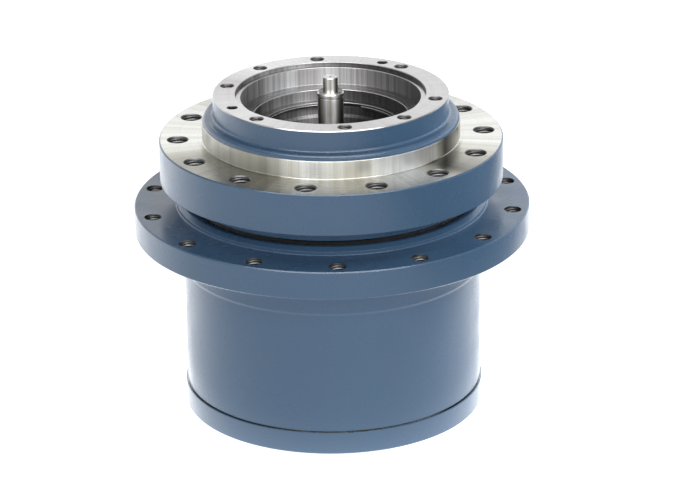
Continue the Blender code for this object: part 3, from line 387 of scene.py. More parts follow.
def drill(name, holes, bevel_finish):
    """Cutters for holes with a bevelled mouth. Each hole is (x, y, radius, bottom, mouth, bevel)."""
    shape = bmesh.new()
    for x, y, radius, bottom, mouth, bevel in holes:
        outline = ((radius + bevel, mouth + OVERCUT), (radius + bevel, mouth), (radius, mouth - bevel),
                   (radius, bottom))
        rings = hole_rings(shape, x, y, outline)
        tip = shape.verts.new((x, y, bottom - radius * tan(DRILL_TIP)))
        shape.faces.new(rings[0])
        for s in range(HOLE_STEPS):
            t = (s + 1) % HOLE_STEPS
            shape.faces.new((tip, rings[-1][s], rings[-1][t])).material_index = PAINTED_HOLE_SHADE
            for upper, lower, finish in zip(rings, rings[1:], (PAINTED_HOLE_SHADE, bevel_finish, PAINTED_HOLE_SHADE)):
                side = shape.faces.new((upper[s], lower[s], lower[t], upper[t]))
                side.material_index = finish
    bmesh.ops.recalc_face_normals(shape, faces=shape.faces)
    return new_object(name, mesh_of(name, shape), [])


# Geometry Nodes

def copies_tree(name, original, material):
    """A tree that puts a copy of the original, of that size, on each point of the mesh it is given."""
    tree = bpy.data.node_groups.new(name, "GeometryNodeTree")
    tree.interface.new_socket("Places", in_out="INPUT", socket_type="NodeSocketGeometry")
    tree.interface.new_socket("Size", in_out="INPUT", socket_type="NodeSocketFloat")
    tree.interface.new_socket("Copies", in_out="OUTPUT", socket_type="NodeSocketGeometry")
    start = tree.nodes.new("NodeGroupInput")
    end = tree.nodes.new("NodeGroupOutput")
    piece = tree.nodes.new("GeometryNodeObjectInfo")
    piece.inputs["Object"].default_value = original
    spread = tree.nodes.new("GeometryNodeInstanceOnPoints")
    real = tree.nodes.new("GeometryNodeRealizeInstances")
    finish = tree.nodes.new("GeometryNodeSetMaterial")
    finish.inputs["Material"].default_value = material
    tree.links.new(start.outputs["Places"], spread.inputs["Points"])
    tree.links.new(piece.outputs["Geometry"], spread.inputs["Instance"])
    tree.links.new(start.outputs["Size"], spread.inputs["Scale"])
    tree.links.new(spread.outputs["Instances"], real.inputs["Geometry"])
    tree.links.new(real.outputs["Geometry"], finish.inputs["Geometry"])
    tree.links.new(finish.outputs["Geometry"], end.inputs["Copies"])
    return tree


def copies(name, original, places, material):
    """Copies of the original on all places, as one plain mesh. The original is removed."""
    mesh = bpy.data.meshes.new(name)
    mesh.from_pydata([tuple(p) for p in places], [], [])
    obj = new_object(name, mesh, [])
    tree = copies_tree(name, original, material)
    modifier = obj.modifiers.new("copies", "NODES")
    modifier.node_group = tree
    sockets = {s.name: s.identifier for s in tree.interface.items_tree if s.in_out == "INPUT"}
    modifier[sockets["Size"]] = 1.0
    plain_mesh(obj)
    bpy.data.objects.remove(original)
    return obj


def thread_coil(radius, depth, pitch, top, bottom):
    """The ridge of an inner thread. It winds down the wall of a hole, stands in by the depth, and fades
    out over half a turn at both ends."""
    turns = (top - bottom) / pitch - 1
    count = int(turns * COIL_STEPS)
    foot, crest = pitch * 0.45, pitch * 0.06
    shape = bmesh.new()
    rings = []
    for i in range(count + 1):
        a = 2 * pi * i / COIL_STEPS
        z = top - pitch * (i / COIL_STEPS + 0.5)
        fade = min(1, i / COIL_STEPS * 2, (count - i) / COIL_STEPS * 2)
        tip = radius - depth * fade
        section = ((radius, z + foot), (tip, z + crest), (tip, z - crest), (radius, z - foot))
        rings.append([shape.verts.new((r * cos(a), r * sin(a), h)) for r, h in section])
    for near, far in zip(rings, rings[1:]):
        for i in range(4):
            j = (i + 1) % 4
            shape.faces.new((near[i], near[j], far[j], far[i]))
    shape.faces.new(rings[0])
    shape.faces.new(rings[-1])
    bmesh.ops.recalc_face_normals(shape, faces=shape.faces)
    obj = new_object("thread_coil", mesh_of("thread_coil", shape), [])
    edges_by_angle(obj)
    return obj


# Materials

def feed(tree, kind, inputs, **settings):
    """Adds a node, sets it up and connects it. An input is a value or another node's output."""
    node = tree.nodes.new(kind)
    for name, value in settings.items():
        setattr(node, name, value)
    for name, value in inputs.items():
        if isinstance(value, bpy.types.NodeSocket):
            tree.links.new(value, node.inputs[name])
        else:
            node.inputs[name].default_value = value
    return node


def new_finish(name, tint, roughness, metallic):
    material = bpy.data.materials.new(name)
    material.use_nodes = True
    shader = material.node_tree.nodes["Principled BSDF"]
    shader.inputs["Base Color"].default_value = (*tint, 1)
    shader.inputs["Roughness"].default_value = roughness
    shader.inputs["Metallic"].default_value = metallic
    return material, material.node_tree, shader


def object_place(tree):
    return feed(tree, "ShaderNodeTexCoord", {}).outputs["Object"]


def spread_over(tree, pattern, low, high):
    """Spreads a noise, which keeps near its middle, over the values from low to high."""
    spread = feed(tree, "ShaderNodeMapRange",
                  {"Value": pattern, "From Min": 0.3, "From Max": 0.7, "To Min": low, "To Max": high})
    return spread.outputs["Result"]


def vary(tree, shader, socket, pattern, low, high):
    tree.links.new(spread_over(tree, pattern, low, high), shader.inputs[socket])


def tint_between(tree, shader, pattern, dark, light):
    """Mottles the base colour between two tints."""
    mix = feed(tree, "ShaderNodeMix", {0: pattern, 6: (*dark, 1), 7: (*light, 1)}, data_type="RGBA")
    tree.links.new(mix.outputs[2], shader.inputs["Base Color"])


def bump(tree, shader, pattern, distance, strength=1.0):
    node = feed(tree, "ShaderNodeBump", {"Height": pattern, "Distance": distance, "Strength": strength})
    tree.links.new(node.outputs["Normal"], shader.inputs["Normal"])


def shade(tint, factor):
    return tuple(min(1, c * factor) for c in tint)


def noise(tree, place, scale, detail=2.0, roughness=0.5):
    return feed(tree, "ShaderNodeTexNoise",
                {"Vector": place, "Scale": scale, "Detail": detail, "Roughness": roughness}).outputs["Fac"]


def turning_place(tree, pitch, stretch):
    """Coordinates that are long round the axis and short across it, for the marks of a lathe tool, and
    the direction from the axis."""
    place = object_place(tree)
    parts = feed(tree, "ShaderNodeSeparateXYZ", {"Vector": place})
    flat = feed(tree, "ShaderNodeCombineXYZ", {"X": parts.outputs["X"], "Y": parts.outputs["Y"]})
    reach = feed(tree, "ShaderNodeVectorMath", {0: flat.outputs[0]}, operation="LENGTH")
    heading = feed(tree, "ShaderNodeVectorMath", {0: flat.outputs[0]}, operation="NORMALIZE")
    across = feed(tree, "ShaderNodeMath", {0: reach.outputs["Value"], 1: 1 / pitch}, operation="MULTIPLY")
    along = feed(tree, "ShaderNodeMath", {0: parts.outputs["Z"], 1: 1 / pitch}, operation="MULTIPLY")
    marks = feed(tree, "ShaderNodeCombineXYZ", {"X": across.outputs[0], "Y": along.outputs[0]})
    wide = feed(tree, "ShaderNodeVectorMath", {0: heading.outputs[0], 1: (stretch,) * 3},
                operation="MULTIPLY")
    both = feed(tree, "ShaderNodeVectorMath", {0: marks.outputs[0], 1: wide.outputs[0]}, operation="ADD")
    return both.outputs[0], heading.outputs[0]


def paint_finish(finish):
    """Semi-gloss paint over a machined casting: a faint orange peel and slow changes of tone."""
    material, tree, shader = new_finish("sprayed_paint", finish.paint, finish.paint_roughness, 0)
    place = object_place(tree)
    tone = noise(tree, place, scale=7, detail=4)
    gloss = noise(tree, place, scale=30, detail=3)
    orange_peel = noise(tree, place, scale=800)
    tint_between(tree, shader, tone, shade(finish.paint, 0.93), shade(finish.paint, 1.08))
    vary(tree, shader, "Roughness", gloss, finish.paint_roughness - 0.05, finish.paint_roughness + 0.05)
    bump(tree, shader, orange_peel, distance=0.00002, strength=0.25)
    return material


def ramp_of(tree, value, stops):
    """A colour ramp of grey levels. Each stop is (position, level)."""
    ramp = feed(tree, "ShaderNodeValToRGB", {0: value})
    while len(ramp.color_ramp.elements) < len(stops):
        ramp.color_ramp.elements.new(0.5)
    for element, (position, level) in zip(ramp.color_ramp.elements, stops):
        element.position = position
        element.color = (level, level, level, 1)
    return ramp.outputs["Color"]


def round_the_axis(tree, stops):
    """A share that changes round the axis. Each stop is (degrees from the front towards +X, share)."""
    parts = feed(tree, "ShaderNodeSeparateXYZ", {"Vector": object_place(tree)})
    ahead = feed(tree, "ShaderNodeMath", {0: parts.outputs["Y"], 1: -1.0}, operation="MULTIPLY")
    angle = feed(tree, "ShaderNodeMath", {0: parts.outputs["X"], 1: ahead.outputs[0]}, operation="ARCTAN2")
    turn = feed(tree, "ShaderNodeMapRange", {"Value": angle.outputs[0], "From Min": -pi, "From Max": pi})
    return ramp_of(tree, turn.outputs[0], [(degrees / 360 + 0.5, level) for degrees, level in stops])


def lathe_finish(name, tint, roughness, pitch, stops=EVEN_PAINTED_LIGHT, spread=0.75, streak=0.2, warmth=0.06):
    """Turned metal with the tool's rings at that pitch, and painted light round the axis: by the stops its
    colour runs from black through a dull tone to a bright one, as painted reflections, painted highlights and
    painted shade. Spread is how far glints run across the rings, streak is how much that painted light varies
    between narrow strips, which are painted reflection streaks, and warmth is how much blue the dull tone of
    painted shade lacks."""
    material, tree, shader = new_finish(name, tint, roughness, 1)
    place, heading = turning_place(tree, pitch, stretch=0.6)
    marks = noise(tree, place, scale=1, roughness=0.7)
    # Narrow strips round the axis that lighten and darken the colour are painted reflection streaks
    strips = noise(tree, heading, scale=16, detail=4, roughness=0.7)
    painted_streaks = spread_over(tree, strips, 1 - streak, 1 + streak)
    painted_light = feed(tree, "ShaderNodeMath", {0: painted_streaks, 1: round_the_axis(tree, stops)},
                  operation="MULTIPLY", use_clamp=True)
    # Tones of the painted light: near black for the deepest painted shade, a dull tone for painted shade and
    # a bright tone for painted highlights
    black = shade(tint, 0.02)
    painted_shade_tone = tuple(c * level for c, level in zip(tint, (0.47, 0.46, 0.46 - warmth)))
    bright = tuple(c * level for c, level in zip(tint, (0.98, 1.0, 1.015)))
    tones = feed(tree, "ShaderNodeValToRGB", {0: painted_light.outputs[0]})
    tones.color_ramp.elements.new(0.46)
    for element, tone in zip(tones.color_ramp.elements, (black, painted_shade_tone, bright)):
        element.color = (*tone, 1)
    tree.links.new(tones.outputs["Color"], shader.inputs["Base Color"])
    vary(tree, shader, "Roughness", marks, roughness - 0.05, roughness + 0.07)
    bump(tree, shader, marks, distance=0.00003, strength=0.35)
    shader.inputs["Anisotropic"].default_value = spread
    shader.inputs["Anisotropic Rotation"].default_value = 0.25
    tangent = feed(tree, "ShaderNodeTangent", {}, direction_type="RADIAL", axis="Z")
    tree.links.new(tangent.outputs[0], shader.inputs["Tangent"])
    return material


def metal_finish(name, tint, roughness, grain, depth):
    """Ground, blackened or drilled metal, with a grain of its own scale and depth."""
    material, tree, shader = new_finish(name, tint, roughness, 1)
    place = object_place(tree)
    tone = noise(tree, place, scale=25, detail=4)
    gloss = noise(tree, place, scale=grain / 3, detail=3)
    tint_between(tree, shader, tone, shade(tint, 0.85), shade(tint, 1.12))
    vary(tree, shader, "Roughness", gloss, roughness - 0.06, roughness + 0.08)
    bump(tree, shader, noise(tree, place, scale=grain), depth, strength=0.6)
    return material


def rubber_finish(finish):
    """Moulded rubber, matt and slightly greyed in places."""
    material, tree, shader = new_finish("black_rubber", finish.rubber, 0.6, 0)
    place = object_place(tree)
    tone = noise(tree, place, scale=60, detail=3)
    tint_between(tree, shader, tone, shade(finish.rubber, 0.8), shade(finish.rubber, 1.5))
    vary(tree, shader, "Roughness", noise(tree, place, scale=200), 0.5, 0.7)
    bump(tree, shader, noise(tree, place, scale=900), distance=0.00003, strength=0.5)
    return material


def finish_named(name):
    """The material of that name, made on first use."""
    if name in bpy.data.materials:
        return bpy.data.materials[name]
    finish = bpy.context.scene.final_drive_finish
    steel, rough = finish.steel, finish.steel_roughness
    makers = {
        "sprayed_paint": lambda: paint_finish(finish),
        # The turned steels carry painted light by their stops; the bored and shaft steels are also lighter
        # copies of the steel colour, painted brighter for their reflections
        "turned_steel": lambda: lathe_finish(name, steel, rough, 0.0009, TURNED_PAINTED_LIGHT),
        "pilot_steel": lambda: lathe_finish(name, steel, 1.3 * rough, 0.0009, PILOT_PAINTED_LIGHT, spread=0.92),
        "faced_steel": lambda: lathe_finish(name, steel, rough, 0.0007, FACED_PAINTED_LIGHT, spread=0.4,
                                            streak=0.08, warmth=0),
        "bored_steel": lambda: lathe_finish(name, shade(steel, 1.1), 2 * rough, 0.0012, BORED_PAINTED_LIGHT,
                                            spread=0.9, streak=0.5, warmth=0),
        "deep_bore_steel": lambda: lathe_finish(name, steel, 2 * rough, 0.0012, DEEP_PAINTED_LIGHT,
                                                spread=0.9, streak=0.5, warmth=0),
        "shaft_steel": lambda: lathe_finish(name, shade(steel, 1.2), 1.5 * rough, 0.0015, SHAFT_PAINTED_LIGHT,
                                            spread=0.9),
        "polished_steel": lambda: lathe_finish(name, finish.bearing, 0.18, 0.0006),
        "turned_bronze": lambda: lathe_finish(name, finish.bronze, 0.32, 0.0008),
        # The holes' steel is made dark to paint the shade inside the holes and their threads
        "drilled_steel": lambda: metal_finish(name, shade(steel, 0.15), 0.45, grain=900, depth=0.00002),
        "ground_steel": lambda: metal_finish(name, finish.gear, 0.3, grain=700, depth=0.00003),
        "blackened_steel": lambda: metal_finish(name, finish.oxide, 0.42, grain=800, depth=0.00003),
        "black_rubber": lambda: rubber_finish(finish),
    }
    return makers[name]()


def housing_finishes():
    """A housing's finishes in the order of their constants, from PAINT to PAINTED_HOLE_SHADE."""
    names = ("sprayed_paint", "turned_steel", "pilot_steel", "faced_steel", "bored_steel", "deep_bore_steel",
             "drilled_steel")
    return [finish_named(n) for n in names]


# Places of the holes, from numbers in degrees from the front towards +X

FRAME_HOLE_ANGLES = evenly(14, from_front(radians(-9.1)))
SPROCKET_HOLE_ANGLES = evenly(14, from_front(radians(1.8)))
MOTOR_HOLE_ANGLES = [from_front(radians(a)) for a in (7.5, 42.5, 77.5, 137.5, 187.5, 222.5, 257.5, 317.5)]
DOWEL_HOLE_ANGLES = [from_front(radians(a)) for a in (-65.4, 150.2)]


def neck_corners(s, top):
    """The neck's outer side, from the motor face over the rounded shoulder to the pilot's foot."""
    edge = 0.001
    return [
        (s.neck_radius - edge, top, 0.0003, FACED),
        (s.neck_radius, top - edge, 0.0003, PAINT),
        (s.neck_radius, s.shoulder_top, s.neck_fillet, PAINT),
        (s.shoulder_radius, s.shoulder_top, s.shoulder_round, PAINT),
        (s.shoulder_radius, s.pilot_top, 0.0002, PILOT),
        (s.pilot_radius, s.pilot_top, 0.0005, PILOT),
    ]


def flange_corners(s, outer):
    """The frame flange and the collar under it, from the pilot's foot to the collar's lower end."""
    edge = 0.0012
    return [
        (s.pilot_radius, s.flange_top, 0.0011, TURNED),
        (outer - edge, s.flange_top, 0.0005, PAINT),
        (outer, s.flange_top - edge, 0.0008, PAINT),
        (outer, s.flange_bottom, 0.0018, PAINT),
        (s.collar_radius, s.flange_bottom, 0.004, PAINT),
        (s.collar_radius, s.collar_bottom, 0.0012, PAINT),
    ]


def spindle_inside(s, bottom, top):
    """The inner side, from the seal's bore down to the spindle's end and up the bore to the face."""
    rib = s.bore_radius - s.rib_reach
    rib_bottom = s.rib_top - s.rib_height
    seat = BORE_RING_HIGH.x + FIT_GAP
    seat_bottom, seat_top = BORE_RING_LOW.z - FIT_GAP, BORE_RING_HIGH.z + FIT_GAP
    mouth_bevel = 0.003
    floor_slope = 0.0018
    return [
        (s.seal_bore + mouth_bevel, s.collar_bottom, 0.0006, TURNED),
        (s.seal_bore, s.collar_bottom + mouth_bevel, 0.0004, TURNED),
        (s.seal_bore, s.seal_floor, 0.0008, TURNED),
        (s.body_radius, s.seal_floor, 0.002, TURNED),
        (s.body_radius, s.bearing_top, 0.001, TURNED),
        (s.journal_radius, s.bearing_top, 0.0006, TURNED),
        (s.journal_radius, bottom, 0.001, BORED),
        (s.bore_radius, bottom, 0.001, DEEP),
        (s.bore_radius, rib_bottom, 0.0004, DEEP),
        (rib, rib_bottom + s.rib_reach, 0.0004, DEEP),
        (rib, s.rib_top - s.rib_reach, 0.0004, DEEP),
        (s.bore_radius, s.rib_top, 0.0004, DEEP),
        (s.bore_radius, seat_bottom, 0.0002, DEEP),
        (seat, seat_bottom, 0, DEEP),
        (seat, seat_top, 0, DEEP),
        (s.bore_radius, seat_top, 0.0002, DEEP),
        (s.bore_radius, s.ledge_top, 0.0006, FACED),
        (s.ledge_radius, s.ledge_top, 0.0006, DEEP),
        (s.ledge_radius, s.register_bottom - floor_slope, 0.0008, FACED),
        (s.register_radius, s.register_bottom, 0.0007, BORED),
        (s.register_radius, s.lip_bottom, 0.0006, FACED),
        (s.lip_radius, s.lip_bottom, 0.0003, DEEP),
        (s.lip_radius, top, 0.0007, FACED),
    ]


def spindle_holes(s, top):
    frame_bottom = s.flange_top - s.frame_hole_depth
    motor_bottom = top - s.motor_hole_depth
    dowel_bottom = top - s.dowel_hole_depth
    return [
        *holes_on_circle(s.frame_hole_circle, FRAME_HOLE_ANGLES, s.frame_hole_radius, frame_bottom,
                         s.flange_top, bevel=0.0012),
        *holes_on_circle(s.motor_hole_circle, MOTOR_HOLE_ANGLES, s.motor_hole_radius, motor_bottom,
                         top, bevel=0.0011),
        *holes_on_circle(s.motor_hole_circle, DOWEL_HOLE_ANGLES, s.dowel_hole_radius, dowel_bottom,
                         top, bevel=0.0008),
    ]


def make_spindle(scene):
    s = scene.final_drive_spindle
    top = SPINDLE_HIGH.z
    corners = neck_corners(s, top) + flange_corners(s, SPINDLE_HIGH.x)
    corners += spindle_inside(s, SPINDLE_LOW.z, top)
    body = new_object("spindle_body", turned_mesh("spindle_body", rounded(corners)), housing_finishes())
    cut(body, drill("spindle_drills", spindle_holes(s, top), PAINTED_HOLE_SHADE))
    edges_by_angle(body)
    ride_on(body, "spindle", "blue_grey_paint", "spindle_housing")


def make_hub(scene):
    h = scene.final_drive_hub
    outer, top = HUB_HIGH.x, HUB_HIGH.z
    edge = 0.0013
    lip = 0.0011
    lip_height, slope_height = 0.002, 0.005
    bevel_width = 0.005
    mouth_depth = 0.0035
    steps = 14
    # The root under the flange is a quarter of an ellipse
    root = [(h.barrel_radius + lip + (h.root_reach - lip) * (1 - sin(a)),
             h.flange_bottom - h.root_height * (1 - cos(a)), 0, PAINT)
            for a in [pi / 2 * k / steps for k in range(steps + 1)]]
    foot = h.flange_bottom - h.root_height
    corners = [
        (h.boss_inner, top, 0.001, PAINT),
        (h.boss_radius - bevel_width, top, 0.0012, PAINT),
        (h.boss_radius, top - h.boss_bevel, 0.0008, PAINT),
        (h.boss_radius, h.flange_top, 0.0015, PAINT),
        (outer - edge, h.flange_top, 0.0003, PAINT),
        (outer, h.flange_top - edge, 0.0003, PAINT),
        (outer, h.flange_bottom + edge, 0.0003, PAINT),
        (outer - edge, h.flange_bottom, 0.0003, PAINT),
        *root,
        (h.barrel_radius + lip, foot - lip_height, 0.0015, PAINT),
        (h.barrel_radius, foot - slope_height, 0.004, PAINT),
        (h.barrel_radius, HUB_LOW.z + h.foot_groove, 0.0004, PAINT),
        (h.barrel_radius - h.foot_groove, HUB_LOW.z + h.foot_groove, 0.0002, PAINT),
        (h.barrel_radius - h.foot_groove, HUB_LOW.z, 0.0002, TURNED),
        (h.ring_seat, HUB_LOW.z, 0.0005, TURNED),
        (h.ring_seat, h.ring_top, 0.0005, TURNED),
        (h.cup_seat, h.ring_top, 0.0005, TURNED),
        (h.cup_seat, h.rib_bottom, 0.0005, TURNED),
        (h.cup_seat - h.rib_reach, h.rib_bottom, 0.0008, TURNED),
        (h.cup_seat - h.rib_reach, h.rib_top, 0.0008, TURNED),
        (h.cup_seat, h.rib_top, 0.0005, TURNED),
        (h.cup_seat, h.seal_floor, 0.0006, TURNED),
        (h.seal_bore, h.seal_floor, 0.0006, TURNED),
        (h.seal_bore, top - mouth_depth, 0.0006, PAINT),
    ]
    body = new_object("hub_body", turned_mesh("hub_body", rounded(corners)), housing_finishes())
    past_flange = h.flange_bottom - 0.001
    holes = holes_on_circle(h.hole_circle, SPROCKET_HOLE_ANGLES, h.hole_radius, past_flange, h.flange_top,
                            bevel=0.001)
    cut(body, drill("sprocket_drills", holes, DEEP))
    edges_by_angle(body)
    ride_on(body, "hub", "blue_grey_paint", "hub_housing")


def cover_groove_height(h):
    """Height of the middle of the groove that holds the cover's O-ring."""
    return (COVER_HIGH.z + h.cover_thickness) / 2


def make_cover(scene):
    h = scene.final_drive_hub
    outer, top = COVER_HIGH.x, COVER_HIGH.z
    inner = h.spigot_radius - h.spigot_wall
    half_groove = 0.002
    groove_floor = h.ring_seat - 0.0035
    groove_low, groove_high = cover_groove_height(h) - half_groove, cover_groove_height(h) + half_groove
    corners = [
        (inner, top, 0.0008, TURNED),
        (h.spigot_radius, top, 0.0008, TURNED),
        (h.spigot_radius, groove_high, 0.0002, TURNED),
        (groove_floor, groove_high, 0.0003, TURNED),
        (groove_floor, groove_low, 0.0003, TURNED),
        (h.spigot_radius, groove_low, 0.0002, TURNED),
        (h.spigot_radius, h.cover_thickness, 0.0003, TURNED),
        (outer, h.cover_thickness, 0.0009, PAINT),
        (outer, 0, 0.0016, PAINT),
        (AXIS, 0, 0, PAINT),
        (AXIS, h.cover_floor, 0, TURNED),
        (inner, h.cover_floor, 0.0015, TURNED),
    ]
    body = new_object("cover_disc", turned_mesh("cover_disc", rounded(corners)), housing_finishes())
    cut(body, counterbores(h))
    edges_by_angle(body)
    ride_on(body, "hub", "blue_grey_paint", "end_cover")


def cover_screw_places(h):
    return [on_circle(h.screw_circle, a) for a in evenly(h.screws, pi / h.screws)]


def cover_plug_places(h):
    return [on_circle(h.plug_circle, a) for a in (0, pi)]


def counterbores(h):
    """Cutters for the cover's screw and plug holes: a wide seat below and a narrow hole above it."""
    clearance = 0.0005
    bevel = 0.0006
    kinds = (
        (cover_screw_places(h), SCREW_HEAD_RADIUS, h.screw_seat, h.screw_hole, h.cover_thickness),
        (cover_plug_places(h), PLUG_HEAD_RADIUS, h.plug_seat, h.plug_hole, h.cover_floor),
    )
    shape = bmesh.new()
    for places, head, seat, narrow, top in kinds:
        wide = head + clearance
        outline = ((wide + bevel, -OVERCUT), (wide + bevel, 0), (wide, bevel), (wide, seat),
                   (narrow, seat), (narrow, top + OVERCUT))
        for place in places:
            rings = hole_rings(shape, place.x, place.y, outline)
            shape.faces.new(rings[0])
            shape.faces.new(rings[-1])
            for lower, upper in zip(rings, rings[1:]):
                for i in range(HOLE_STEPS):
                    j = (i + 1) % HOLE_STEPS
                    shape.faces.new((lower[i], lower[j], upper[j], upper[i]))
    for face in shape.faces:
        face.material_index = PAINTED_HOLE_SHADE
    bmesh.ops.recalc_face_normals(shape, faces=shape.faces)
    return new_object("cover_drills", mesh_of("cover_drills", shape), [])


def socket_screw(name, low, top, head, head_height, shank, socket):
    """A screw or plug from low to top round the origin. Its head is down, with a hexagon socket in it,
    and head, shank and socket are radii."""
    seat = low + head_height
    socket_depth = 0.6 * head_height
    corners = [
        (AXIS, top, 0, 0),
        (shank, top, 0.0008, 0),
        (shank, seat, 0.0002, 0),
        (head, seat, 0.0004, 0),
        (head, low, 0.0007, 0),
        (AXIS, low, 0, 0),
    ]
    obj = new_object(name, turned_mesh(name, rounded(corners, 0.0002), 48), [])
    shape = bmesh.new()
    bmesh.ops.create_cone(shape, cap_ends=True, segments=6, radius1=socket, radius2=socket,
                          depth=2 * socket_depth, matrix=Matrix.Translation((0, 0, low)))
    cut(obj, new_object("socket", mesh_of("socket", shape), []))
    edges_by_angle(obj)
    return obj


def make_cover_fittings(scene):
    h = scene.final_drive_hub
    oxide = finish_named("blackened_steel")
    screw = socket_screw("screw", SCREW_LOW.z, SCREW_HIGH.z, SCREW_HEAD_RADIUS, head_height=0.008,
                         shank=0.004, socket=0.0035)
    screws = copies("cover_screws", screw, cover_screw_places(h), oxide)
    ride_on(screws, "hub", "black_oxide_steel", *(f"cover_screw_{i:02d}" for i in range(1, h.screws + 1)))
    plug = socket_screw("plug", PLUG_LOW.z, PLUG_HIGH.z, PLUG_HEAD_RADIUS, head_height=0.006,
                        shank=0.0118, socket=0.007)
    plugs = copies("cover_plugs", plug, cover_plug_places(h), oxide)
    ride_on(plugs, "hub", "black_oxide_steel", "cover_plug_1", "cover_plug_2")
    section = 0.00145
    centre = h.ring_seat - FIT_GAP - section
    height = cover_groove_height(h)
    outline = [(centre + section * cos(a), height + section * sin(a), 0) for a in evenly(12)]
    ring = new_object("cover_seal", turned_mesh("cover_seal", outline), [finish_named("black_rubber")])
    edges_by_angle(ring, radians(60))
    ride_on(ring, "hub", "nitrile_rubber", "cover_o_ring")


def make_threads(scene):
    """The cut threads of all tapped holes, one piece for each kind of hole."""
    s = scene.final_drive_spindle
    h = scene.final_drive_hub
    # The threads take the holes' dark steel, whose colour is painted shade
    steel = finish_named("drilled_steel")
    # name, body, core radius, thread's depth and pitch, mouth, hole's depth, circle and places
    sets = (
        ("frame_threads", "spindle", s.frame_hole_radius, 0.0013, 0.003, s.flange_top, s.frame_hole_depth,
         s.frame_hole_circle, FRAME_HOLE_ANGLES),
        ("motor_threads", "spindle", s.motor_hole_radius, 0.0009, 0.002, SPINDLE_HIGH.z,
         s.motor_hole_depth, s.motor_hole_circle, MOTOR_HOLE_ANGLES),
        ("sprocket_threads", "hub", h.hole_radius, 0.0011, 0.0025, h.flange_top,
         h.flange_top - h.flange_bottom, h.hole_circle, SPROCKET_HOLE_ANGLES),
    )
    into_wall = 0.00005
    mouth_bevel = 0.0012
    for name, body, radius, depth, pitch, mouth, deep, circle, angles in sets:
        coil = thread_coil(radius + into_wall, depth, pitch, mouth - mouth_bevel, mouth - deep)
        threads = copies(name, coil, [on_circle(circle, a) for a in angles], steel)
        ride_on(threads, body, "machined_steel")


def tooth_outline(module, teeth, points=8, backlash=0.0006, pressure=radians(25)):
    """The outline of a gear with involute flanks and a tooth centred on +X."""
    pitch = module * teeth / 2
    base = pitch * cos(pressure)
    inner, outer = pitch - 1.25 * module, pitch + module

    def half_angle(radius):
        here = acos(min(1, base / radius))
        grown = tan(pressure) - pressure - (tan(here) - here)
        return pi / (2 * teeth) - backlash / (4 * pitch) + grown

    outline = []
    for centre in evenly(teeth):
        for side in (-1, 1):
            shares = [i / (points - 1) for i in range(points)]
            for part in shares if side < 0 else shares[::-1]:
                radius = inner + part * (outer - inner)
                angle = centre + side * half_angle(radius)
                outline.append((radius * cos(angle), radius * sin(angle)))
    return outline


def shaft_corners(f):
    """The input shaft's outline, from the centre hole in its stub down to its end."""
    turned, faced = 0, 1
    top = SHAFT_HIGH.z
    foot = top - f.stub_length
    collar_bottom = foot - f.collar_height
    centre_hole = 0.0012
    stub_bevel = 0.0007
    step_slope = 0.001
    return [
        (AXIS, top - centre_hole, 0, turned),
        (centre_hole, top, 0.0001, faced),
        (f.stub_radius - stub_bevel, top, 0.0002, faced),
        (f.stub_radius, top - stub_bevel, 0.0002, turned),
        (f.stub_radius, foot, 0.0003, turned),
        (f.collar_radius - f.collar_rim, foot, 0.0003, faced),
        (f.collar_radius, foot - f.collar_rim, 0.0003, turned),
        (f.collar_radius, collar_bottom, 0.0003, turned),
        (f.upper_radius - f.groove, collar_bottom, 0.0002, turned),
        (f.upper_radius - f.groove, collar_bottom - f.groove, 0.0002, turned),
        (f.upper_radius, collar_bottom - f.groove, 0.0004, turned),
        (f.upper_radius, f.step_height, 0, turned),
        (f.lower_radius, f.step_height - step_slope, 0, turned),
        (f.lower_radius, f.gear_top, 0, turned),
        (f.end_radius, f.gear_bottom, 0, turned),
        (f.end_radius, SHAFT_LOW.z, 0.0008, turned),
        (AXIS, SHAFT_LOW.z, 0, turned),
    ]


def rim_notch(f):
    """A cutter for the notch in the collar's rim."""
    reach, width, height = 0.0024, 0.0026, 0.0022
    middle = SHAFT_HIGH.z - f.stub_length - 0.0006
    turn = Matrix.Rotation(from_front(radians(28)), 4, "Z")
    place = Matrix.Translation((f.collar_radius, 0, middle))
    shape = bmesh.new()
    bmesh.ops.create_cube(shape, size=1, matrix=turn @ place @ Matrix.Diagonal((reach, width, height, 1)))
    return mesh_of("notch", shape)


def add_sun_gear(shape, f):
    """Adds the sun gear's teeth. A gap between two of them faces the first planet."""
    first_planet = radians(30)
    turn = Matrix.Rotation(first_planet + pi / f.teeth, 3, "Z")
    outline = [turn @ Vector((x, y, 0)) for x, y in tooth_outline(f.module, f.teeth)]
    lower, upper = ([shape.verts.new((p.x, p.y, z)) for p in outline] for z in (f.gear_bottom, f.gear_top))
    for i in range(len(outline)):
        j = (i + 1) % len(outline)
        shape.faces.new((lower[i], lower[j], upper[j], upper[i]))
    shape.faces.new(lower[::-1])
    shape.faces.new(upper)


def make_input_shaft(scene):
    f = scene.final_drive_shaft
    finishes = [finish_named("shaft_steel"), finish_named("faced_steel")]
    shaft = new_object("shaft", turned_mesh("shaft", rounded(shaft_corners(f), 0.0002), 72), finishes)
    cut(shaft, new_object("notch", rim_notch(f), finishes))
    edges_by_angle(shaft)
    shape = bmesh.new()
    shape.from_mesh(shaft.data)
    add_sun_gear(shape, f)
    bpy.data.objects.remove(shaft)
    body = new_object("shaft_and_sun", mesh_of("shaft_and_sun", shape), finishes)
    edges_by_angle(body)
    ride_on(body, "input_shaft", "gear_steel", "input_shaft")


